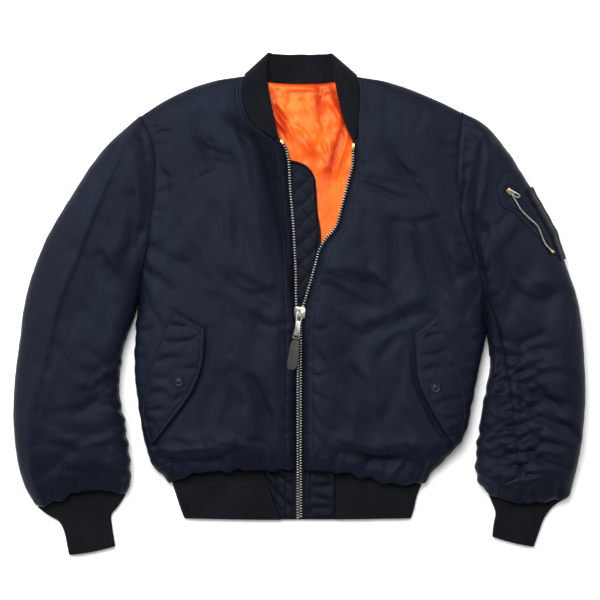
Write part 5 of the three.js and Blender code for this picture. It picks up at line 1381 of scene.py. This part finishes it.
hemPlan = patch(
    curveThrough([(-187, -258), (-180, -280), (-174, -298), (-168, ribSizes["bottom"])]),
    curveThrough([(182, -258), (173, -280), (169, -298), (164, ribSizes["bottom"])]),
    hemBottom,
    curveThrough([(-168, ribSizes["bottom"]), (-60, -316), (60, -315.5), (164, ribSizes["bottom"])]),
)
hemStations = ribStations(60, 90) + [("right", share, ribSizes["frontZ"]) for share in np.linspace(0, 1, 60)]
hemPiece = bandPiece("hem_rib", ribLines(hemPlan, hemStations, hemPlace, 81.5))


def cuffPiece(side, outer, inner, end):
    rows = [(x, y - ribSizes["cuffClear"]) for x, y in outline["cuffSeam" + side]]
    plan = patch(curveThrough(outer), curveThrough(inner), curveThrough(rows), curveThrough(end))
    lines = ribLines(plan, ribStations(44, 44), cuffPlace, 91.5)
    return bandPiece("cuff_" + side.lower(), lines, isLoop=True)


cuffPieces = {
    "Right": cuffPiece(
        "Right", [(-384, -296), (-369, -308), (-353, -317), (-345, -331), (-337, -368)],
        [(-253, -278), (-264, -295), (-275, -309), (-274, -324), (-269, -355)],
        [(-337, -368), (-302, -363), (-269, -355)]),
    "Left": cuffPiece(
        "Left", [(276, -273), (283, -290), (288, -304), (285, -323), (283, -341)],
        [(396, -281), (376, -292), (360, -312), (352, -333), (344, -356)],
        [(283, -341), (314, -350), (344, -356)]),
}
print("ribs made")

# Nylon ends of the fronts beside the zip, below the hem seam
placket = {"low": 5.35, "high": 10.2, "tuck": 3, "columns": 40, "rows": 56, "stitchIn": 12}
placketCreases = {
    "Right": [
        (-54, -246, -14, -294, -3, 4.5, -3.4), (-46, -242, -12, -268, 3, 4, -3), (-52, -276, -24, -308, 3, 4, -3),
        (-36, -244, -30, -280, 3, 3.2, -2.2), (-20, -276, -14, -308, 2, 3.2, -2), (-54, -262, -40, -284, 2, 3.2, -2),
        (-30, -262, -12, -282, 2, 3, -2), (-44, -292, -30, -312, 2, 3, -1.8),
    ],
    "Left": [(16, -250, 46, -256, 2, 3.4, -1.6), (18, -266, 50, -262, -2, 3.6, -1.6), (20, -282, 44, -288, 2, 3.6, -1.4),
             (14, -300, 48, -298, 2, 3.4, -1.2), (40, -246, 46, -276, 2, 3.4, -1.4)],
}


def placketPoints(side):
    u, v = np.meshgrid(crowded(placket["columns"], 0.6), crowded(placket["rows"], 0.6))
    innerX = placketInner[side]
    outerX = placketOuter(side, 1 - v)
    x = outerX + (innerX - outerX) * u
    y = (ribSizes["bottom"] - 1.5) * (1 - v) + (alongTable(hemSeam, x) + placket["tuck"]) * v
    toZip = np.abs(x - innerX)
    nearest = np.minimum(np.minimum(np.abs(x - outerX), toZip), y - ribSizes["bottom"] + 1.5)
    bulge = creaseHeight(placketCreases[side], x, y) + 0.7 * crumple(x, y, (7, 9), 95.5)
    z = placket["high"] + bulge * smoothStep(nearest, 0, 7) - 3.4 * (1 - rise(nearest, 7))
    z -= 0.9 * np.exp(-(((toZip - placket["stitchIn"]) / 1.6) ** 2))
    return turnedDown(np.stack([x, y, z], -1), np.full_like(z, placket["low"]))


plackets = {}
for side in ("Right", "Left"):
    name = "placket_" + side.lower()
    mesh = gridMesh("shell_" + name, placketPoints(side))
    # The plackets take the darker nylon, painted shade
    plackets[side] = thicken(place("shell_" + name, mesh, looks["quilt"], replaces=[name]), 1.6)
print("plackets made")

# Pocket flaps: sewn down along two edges, free and a little raised along the others
flap = {"columns": 46, "rows": 84, "sewn": 1.2, "free": {"Right": 4.6, "Left": 6.6}, "wall": 1.6, "stitchIn": 5}
flapCreases = {
    "Right": [
        (-192, -30, -150, -36, 2, 3.6, -1.6), (-200, -52, -150, -50, -3, 3.6, -1.6), (-212, -84, -170, -78, 3, 3.8, -1.6),
        (-216, -104, -186, -104, -2, 3.6, -1.4), (-168, -96, -146, -92, 2, 3.4, -1.2), (-222, -128, -186, -132, 3, 3.8, -1.6),
        (-226, -152, -198, -150, -2, 3.6, -1.4), (-224, -172, -204, -176, 2, 3.4, -1.2), (-182, -140, -166, -130, 2, 3.4, -1.2),
    ],
    "Left": [
        (174, -52, 204, -44, 2, 3.6, -1.6), (176, -72, 214, -66, -3, 3.6, -1.6), (178, -96, 206, -92, 2, 3.4, -1.4),
        (212, -96, 232, -88, 2, 3.4, -1.4), (196, -146, 236, -136, 3, 3.8, -1.6), (208, -166, 240, -160, -2, 3.6, -1.4),
        (216, -184, 238, -180, 2, 3.4, -1.2), (186, -40, 204, -30, 2, 3.4, -1.4),
    ],
}


def flapPlan(side):
    part = flapParts[side]
    return patch(*[curveThrough(part[key]) for key in ("outer", "free", "tip", "top")])


def flapPoints(side):
    u, v = np.meshgrid(crowded(flap["columns"], 0.6), crowded(flap["rows"], 0.6))
    x, y, (toOuter, toFree, toTip, toTop) = flapPlan(side)(u, v)
    under = heightsAt([frontTrees[side]], x, y, level["body"] + 20)
    raised = flap["sewn"] + (flap["free"][side] - flap["sewn"]) * smoothStep(u, 0.05, 0.75) * smoothStep(toTop, 0, 14)
    nearest = np.minimum(np.minimum(toOuter, toFree), toTop)
    fine = creaseHeight(flapCreases[side], x, y) + 0.7 * crumple(x, y, (9, 7), 101.5)
    stitched = np.exp(-(((nearest - flap["stitchIn"]) / 1.6) ** 2))
    edge = 1.5 * (1 - rise(nearest, 3)) * (1 - 0.4 * smoothStep(u, 0.6, 0.9))
    z = under + raised + fine * smoothStep(nearest, 1, 7) - 0.9 * stitched - edge
    return turnedDown(np.stack([x, y, z], -1), np.minimum(under - 1, z - 1.5) + raised * 0.6)


flaps = {}
for side in ("Right", "Left"):
    name = "pocket_flap_" + side.lower()
    mesh = gridMesh("shell_" + name, flapPoints(side))
    flaps[side] = thicken(place("shell_" + name, mesh, looks["nylon"], replaces=[name]), flap["wall"])
flapTrees = {side: treeOver(piece) for side, piece in flaps.items()}
print("flaps made")

# Left sleeve's zipped pocket and the strip of pen slots along its outer side
pocket = {"columns": 46, "rows": 70, "raised": 1.5, "stitchIn": 3.5}
pocketPlan = patch(
    curveThrough([(285, 172), (293, 142), (312, 130), (334, 107), (356, 87), (367, 72)]),
    curveThrough([(300, 194), (328, 158), (346, 130), (362, 100), (374, 70)]),
    curveThrough([(285, 172), (300, 194)]),
    curveThrough([(367, 72), (374, 70)]),
)
pocketCreases = [
    (296, 172, 306, 150, 2, 3, -1), (318, 150, 330, 134, 2, 3, -1), (340, 128, 352, 106, -2, 3, -1),
    (306, 138, 322, 128, 2, 3, -1), (330, 116, 346, 102, 2, 3, -1), (350, 98, 362, 84, 1, 2.6, -0.9),
]


def pocketPoints():
    u, v = np.meshgrid(crowded(pocket["columns"], 0.6), crowded(pocket["rows"], 0.6))
    x, y, away = pocketPlan(u, v)
    under = heightsAt(sleeveTrees["Left"], x, y, level["sleeve"] + 3)
    nearest = np.minimum(np.minimum(away[0], away[1]), np.minimum(away[2], away[3]))
    z = under + pocket["raised"] * rise(nearest, 3) + 0.4
    z += (creaseHeight(pocketCreases, x, y) + 0.5 * crumple(x, y, (6, 8), 111.5)) * smoothStep(nearest, 1, 6)
    z -= 0.6 * np.exp(-(((nearest - pocket["stitchIn"]) / 1.3) ** 2))
    return turnedDown(np.stack([x, y, z], -1), under - 1)


pocketPiece = thicken(place("shell_sleeve_pocket", gridMesh("shell_sleeve_pocket", pocketPoints()), looks["nylon"],
                            replaces=["sleeve_pocket"]), 1.2)
pocketTree = treeOver(pocketPiece)
penStrip = {"from": 0.245, "to": 0.432, "rows": 84}
penProfile = [(10.5, None, 0.2), (9.5, None, 1.6), (7.5, None, 2.2), (5, None, 2.4), (3, None, 2.4), (1.2, None, 2.4),
              (-0.6, 24, 0), (-2.2, 22.5, 0), (-3.4, 20.5, 0), (-3.8, 18, 0), (-3.4, 15.5, 0), (-1.5, 15, 0)]


def penPoints():
    share = np.linspace(penStrip["from"], penStrip["to"], penStrip["rows"])
    columns = []
    for inside, height, raised in penProfile:
        narrowed = inside * (1 - 0.25 * smoothStep(share, 0.35, 0.43)[:, None]) if inside > 0 else inside
        spot = shifted(curves["outerLeft"], -narrowed)(share)
        under = heightsAt(sleeveTrees["Left"], spot[:, 0], spot[:, 1], 24) if height is None else height
        wave = 0.4 * np.sin(np.linspace(0, 13 * math.pi, len(share)))
        columns.append(np.stack([spot[:, 0], spot[:, 1], under + raised + wave], -1))
    return np.stack(columns, 1)


# The pen strip takes the darker nylon, painted shade
penPiece = thicken(place("shell_pen_strip", gridMesh("shell_pen_strip", penPoints(), upAt=(0.5, 0.3)),
                         looks["quilt"], replaces=["pen_strip"]), 1.3)
print("sleeve pocket made")


# Many small copies of one shape, joined into a single mesh
def scattered(name, template, matrices, look, body="jacket", replaces=()):
    bm = bmesh.new()
    for matrix in matrices:
        copy = template.copy()
        copy.transform(matrix)
        bm.from_mesh(copy)
        bpy.data.meshes.remove(copy)
    mesh = bpy.data.meshes.new(name)
    bm.to_mesh(mesh)
    bm.free()
    return place(name, mesh, look, body, replaces)


def standing(point, along, lean=(0, 0, 1)):
    forward = Vector(along).normalized()
    up = (Vector(lean) - forward * Vector(lean).dot(forward)).normalized()
    turn = Matrix((forward, up.cross(forward), up)).transposed().to_4x4()
    return Matrix.Translation(Vector(point) * mm) @ turn


def templateMesh(name, make):
    bm = bmesh.new()
    make(bm)
    mesh = bpy.data.meshes.new(name)
    bm.to_mesh(mesh)
    bm.free()
    return mesh


# Zips: tapes, teeth one by one, and stops
teeth = {"pitch": 3.9, "across": 4.2, "along": 1.4, "tall": 3.0, "bevel": 0.4, "middle": 2.9, "nub": 0.9}
tape = {"inner": -2.2, "outer": 8, "wall": 0.9, "rows": 260, "top": 1.0}


def makeTooth(bm):
    bmesh.ops.create_cube(bm, size=1)
    scale = (teeth["along"] * mm, teeth["across"] * mm, teeth["tall"] * mm)
    bmesh.ops.scale(bm, vec=scale, verts=bm.verts)
    bmesh.ops.bevel(bm, geom=bm.edges[:], offset=teeth["bevel"] * mm, segments=1, profile=0.5, affect="EDGES",
                    material=-1)


toothMesh = templateMesh("tooth", makeTooth)


def toothPlaces(curve, count, offset, shift, baseOf, top):
    places = []
    for index in range(count):
        share = (index + offset) / count * top
        x, y = curve(share)
        ahead, behind = curve(min(share + 0.002, 1)), curve(max(share - 0.002, 0))
        along = ahead - behind
        side = np.array([-along[1], along[0]]) / np.hypot(*along) * shift
        places.append(standing((x + side[0], y + side[1], baseOf(x, y)), (along[0], along[1], 0)))
    return places


zipPieces = []
for side, sign in (("Right", 1), ("Left", -1)):
    chain = curves["chain" + side]
    share = np.linspace(0, zipSizes["topShare"], tape["rows"])
    columns = []
    for offset in np.linspace(tape["inner"], tape["outer"], 6):
        spot = shifted(chain, offset * sign)(share)
        columns.append(np.stack([spot[:, 0], spot[:, 1], zipBase(chain(share)[:, 1]) + tape["top"]], -1))
    tapeMesh = gridMesh("shell_zip_tape_" + side.lower(), np.stack(columns, 1))
    tapePiece = thicken(place("shell_zip_tape_" + side.lower(), tapeMesh, looks["tape"],
                              replaces=["zip_tape_" + side.lower()]), tape["wall"])
    length = np.linalg.norm(np.diff(chain(np.linspace(0, 1, 400)), axis=0), axis=1).sum()
    count = round(length * zipSizes["topShare"] / teeth["pitch"])
    places = toothPlaces(chain, count, 0.25 if side == "Right" else 0.75, -0.35 * sign,
                         lambda x, y: zipBase(y) + teeth["middle"], zipSizes["topShare"])
    zipTeeth = scattered("shell_zip_teeth_" + side.lower(), toothMesh, places, looks["zipMetal"],
                         replaces=["zip_teeth_" + side.lower()])
    zipPieces += [tapePiece, zipTeeth]
print("zip made")


# A CAD piece with its corners rounded
def refined(node, look, width, body="jacket", segments=2, name=None):
    bm = bmesh.new()
    bm.from_mesh(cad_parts[node].data)
    bmesh.ops.remove_doubles(bm, verts=bm.verts, dist=1e-6)
    bmesh.ops.dissolve_limit(bm, angle_limit=math.radians(1), verts=bm.verts, edges=bm.edges)
    mesh = bpy.data.meshes.new(name or "fine_" + node)
    bm.to_mesh(mesh)
    bm.free()
    piece = place(mesh.name, mesh, look, body, [node])
    bevel = piece.modifiers.new("edges", "BEVEL")
    bevel.width = width * mm
    bevel.segments = segments
    bevel.limit_method = "ANGLE"
    bevel.angle_limit = math.radians(28)
    bevel.harden_normals = True
    return piece


refined("zip_slider", looks["pullMetal"], 0.5)
refined("zip_pull", looks["pullMetal"], 0.35, "zip_pull")
refined("pull_tab", looks["tab"], 0.55, "pull_tab", 3)
refined("sleeve_zip_slider", looks["agedBrass"], 0.35)
refined("sleeve_zip_pull", looks["pullMetal"], 0.25, "sleeve_zip_pull")
for side in ("right", "left"):
    refined("zip_stop_" + side, looks["brass"], 0.3)

# Sleeve zip: its chain on a narrow tape
sleeveZip = {"pitch": 2.1, "tape": 3.2, "raised": 1.2, "rows": 90, "stop": (4.4, 3.8, 2.2)}
sleeveChain = curveThrough([(308, 157), (314, 148), (321, 136), (334, 123), (345, 113), (351, 99), (357, 86), (368, 75)])


def makeSmallTooth(bm):
    bmesh.ops.create_cube(bm, size=1)
    bmesh.ops.scale(bm, vec=(1.1 * mm, 2.4 * mm, 1.5 * mm), verts=bm.verts)
    bmesh.ops.bevel(bm, geom=bm.edges[:], offset=0.28 * mm, segments=1, profile=0.5, affect="EDGES", material=-1)


def pocketHeight(x, y):
    return heightAt([pocketTree], x, y, 45)


share = np.linspace(0, 1, sleeveZip["rows"])
columns = []
for offset in (-sleeveZip["tape"], -2, 0, 2, sleeveZip["tape"]):
    spot = shifted(sleeveChain, offset)(share)
    z = heightsAt([pocketTree], spot[:, 0], spot[:, 1], 45) + (0.5 if abs(offset) > 3 else 0.9)
    columns.append(np.stack([spot[:, 0], spot[:, 1], z], -1))
sleeveTape = thicken(place("sleeve_zip_tape", gridMesh("sleeve_zip_tape", np.stack(columns, 1)), looks["tape"]), 0.6)
length = np.linalg.norm(np.diff(sleeveChain(np.linspace(0, 1, 200)), axis=0), axis=1).sum()
places = toothPlaces(sleeveChain, round(length / sleeveZip["pitch"]), 0.5, 0,
                     lambda x, y: pocketHeight(x, y) + sleeveZip["raised"] + 0.6, 1)
scattered("shell_sleeve_zip", templateMesh("smallTooth", makeSmallTooth), places, looks["zipMetal"],
          replaces=["sleeve_zip"])


def makeSleeveStop(bm):
    bmesh.ops.create_cube(bm, size=1)
    bmesh.ops.scale(bm, vec=Vector(sleeveZip["stop"]) * mm, verts=bm.verts)
    bmesh.ops.bevel(bm, geom=bm.edges[:], offset=0.5 * mm, segments=2, profile=0.5, affect="EDGES", material=-1)


scattered("sleeve_zip_stop", templateMesh("sleeveStop", makeSleeveStop), places[-1:], looks["brass"])
print("sleeve zip made")

# Snaps: a dished cap turned about its axis, with a bright rolled rim
snap = {
    "profile": [(0, 2.6), (2.4, 2.5), (4.2, 2.0), (5.2, 1.8), (5.8, 2.4), (6.6, 2.8), (7.4, 2.5), (7.9, 1.6), (8, 0)],
    "rimFrom": 5.9, "steps": 40,
}


def snapPiece(side):
    x, y = flapParts[side]["snap"]
    base = heightAt([flapTrees[side]], x, y, 40) - 0.4
    bm = bmesh.new()
    verts = [bm.verts.new((radius * mm, 0, height * mm)) for radius, height in snap["profile"]]
    edges = [bm.edges.new(pair) for pair in zip(verts, verts[1:])]
    bmesh.ops.spin(bm, geom=verts + edges, cent=(0, 0, 0), axis=(0, 0, 1), angle=2 * math.pi, steps=snap["steps"],
                   use_merge=True)
    bmesh.ops.remove_doubles(bm, verts=bm.verts, dist=1e-6)
    bmesh.ops.holes_fill(bm, edges=[edge for edge in bm.edges if edge.is_boundary], sides=0)
    bmesh.ops.recalc_face_normals(bm, faces=bm.faces)
    for face in bm.faces:
        if face.calc_center_median().xy.length > snap["rimFrom"] * mm:
            face.material_index = 1
    bmesh.ops.translate(bm, vec=(x * mm, y * mm, base * mm), verts=bm.verts)
    name = "shell_snap_" + side.lower()
    mesh = bpy.data.meshes.new(name)
    bm.to_mesh(mesh)
    bm.free()
    piece = place(name, mesh, looks["snapMetal"], replaces=["snap_" + side.lower()])
    mesh.materials.append(looks["snapRim"])
    return piece


for side in ("Right", "Left"):
    snapPiece(side)
print("snaps made")

# Topstitching: each stitch is a small bar of thread on the cloth
stitch = {"length": 3.1, "pitch": 4.1, "thick": 0.62, "sunkAndPaintedShade": 0.05}


def makeStitch(bm):
    bmesh.ops.create_icosphere(bm, subdivisions=1, radius=0.5)
    bmesh.ops.scale(bm, vec=(stitch["length"] * mm, stitch["thick"] * mm, stitch["thick"] * mm), verts=bm.verts)


stitchMesh = templateMesh("stitch", makeStitch)


def stitchPlaces(curve, trees, shares=(0, 1), lift=0.0, otherwise=None):
    spots = curve(np.linspace(*shares, 500))
    along = np.concatenate([[0], np.cumsum(np.linalg.norm(np.diff(spots, axis=0), axis=1))])
    count = max(2, round(along[-1] / stitch["pitch"]))
    at = np.linspace(0, along[-1], count + 1)
    xs, ys = np.interp(at, along, spots[:, 0]), np.interp(at, along, spots[:, 1])
    points = []
    for x, y in zip(xs, ys):
        z = heightAt(trees, x, y, -1)
        if z > 0:
            points.append(Vector((x, y, z + stitch["thick"] / 2 - stitch["sunkAndPaintedShade"] + lift)))
        else:
            points.append(None)
    places = []
    for start, end in zip(points, points[1:]):
        if start and end and abs(start.z - end.z) < 3:
            places.append(standing((start + end) / 2, end - start))
    return places


def edgePath(*pieces):
    rows = np.vstack([piece(np.linspace(0, 1, 60)) for piece in pieces])
    return curveThrough(rows[::3])


def inPatch(plan, inset):
    def alongEdge(uOf, vOf):
        def curve(share):
            share = np.asarray(share, float)
            u, v = uOf(share), vOf(share)
            for _ in range(3):
                x, y, away = plan(u, v)
            return np.stack([x, y], -1)
        return curve
    return alongEdge


zipStitch = zipSizes["edge"] + 12
stitches = []
for side, sign in (("Right", 1), ("Left", -1)):
    trees = [frontTrees[side], treeOver(plackets[side])]
    stitches += stitchPlaces(shifted(curves["chain" + side], sign * zipStitch), trees, (0.004, 0.97))
    seam = shifted(curves["collarSeam" + side], sign * 3.6)
    stitches += stitchPlaces(seam, [frontTrees[side]], (0.03, 0.95))
    stitches += stitchPlaces(shifted(curves["collarSeam" + side], sign * 8.4), [frontTrees[side]], (0.06, 0.95))
    part = flapParts[side]
    inset = -flap["stitchIn"] if side == "Right" else flap["stitchIn"]
    tree = [flapTrees[side]]
    stitches += stitchPlaces(shifted(curveThrough(part["outer"]), inset), tree, (0.06, 0.93))
    stitches += stitchPlaces(shifted(curveThrough(part["free"]), -inset), tree, (0.08, 0.95))
    stitches += stitchPlaces(shifted(curveThrough(part["top"]), inset), tree, (0.1, 0.9))
    stitches += stitchPlaces(shifted(curves["armhole" + side], -sign * -5), [frontTrees[side]], (0.04, 0.96))
for offset in (-5.2, 5.2):
    stitches += stitchPlaces(shifted(sleeveChain, offset), [pocketTree], (0.02, 0.98))
stitches += stitchPlaces(shifted(curveThrough([(285, 172), (293, 142), (312, 130), (334, 107), (356, 87), (367, 72)]), 3.5),
                         [pocketTree], (0.04, 0.97))
stitches += stitchPlaces(shifted(curveThrough([(300, 194), (328, 158), (346, 130), (362, 100), (374, 70)]), -3.5),
                         [pocketTree], (0.04, 0.97))
windEdge = curveThrough([(-2, 208), (11, 202), (19, 193), (24, 182), (26, 160), (28, 130), (32, 105), (31, 60), (28, 0)])
stitches += stitchPlaces(shifted(windEdge, -4.5), [treeOver(windFlapPiece)], (0.02, 0.98))
stitchPiece = scattered("topstitching", stitchMesh, stitches, looks["thread"])
neckStitch = shifted(curves["backNeck"], -7)
liningStitches = scattered("neck_stitching", stitchMesh, stitchPlaces(neckStitch, [treeOver(liningPiece)], (0.22, 0.8)),
                           looks["liningThread"])
print("stitching made")
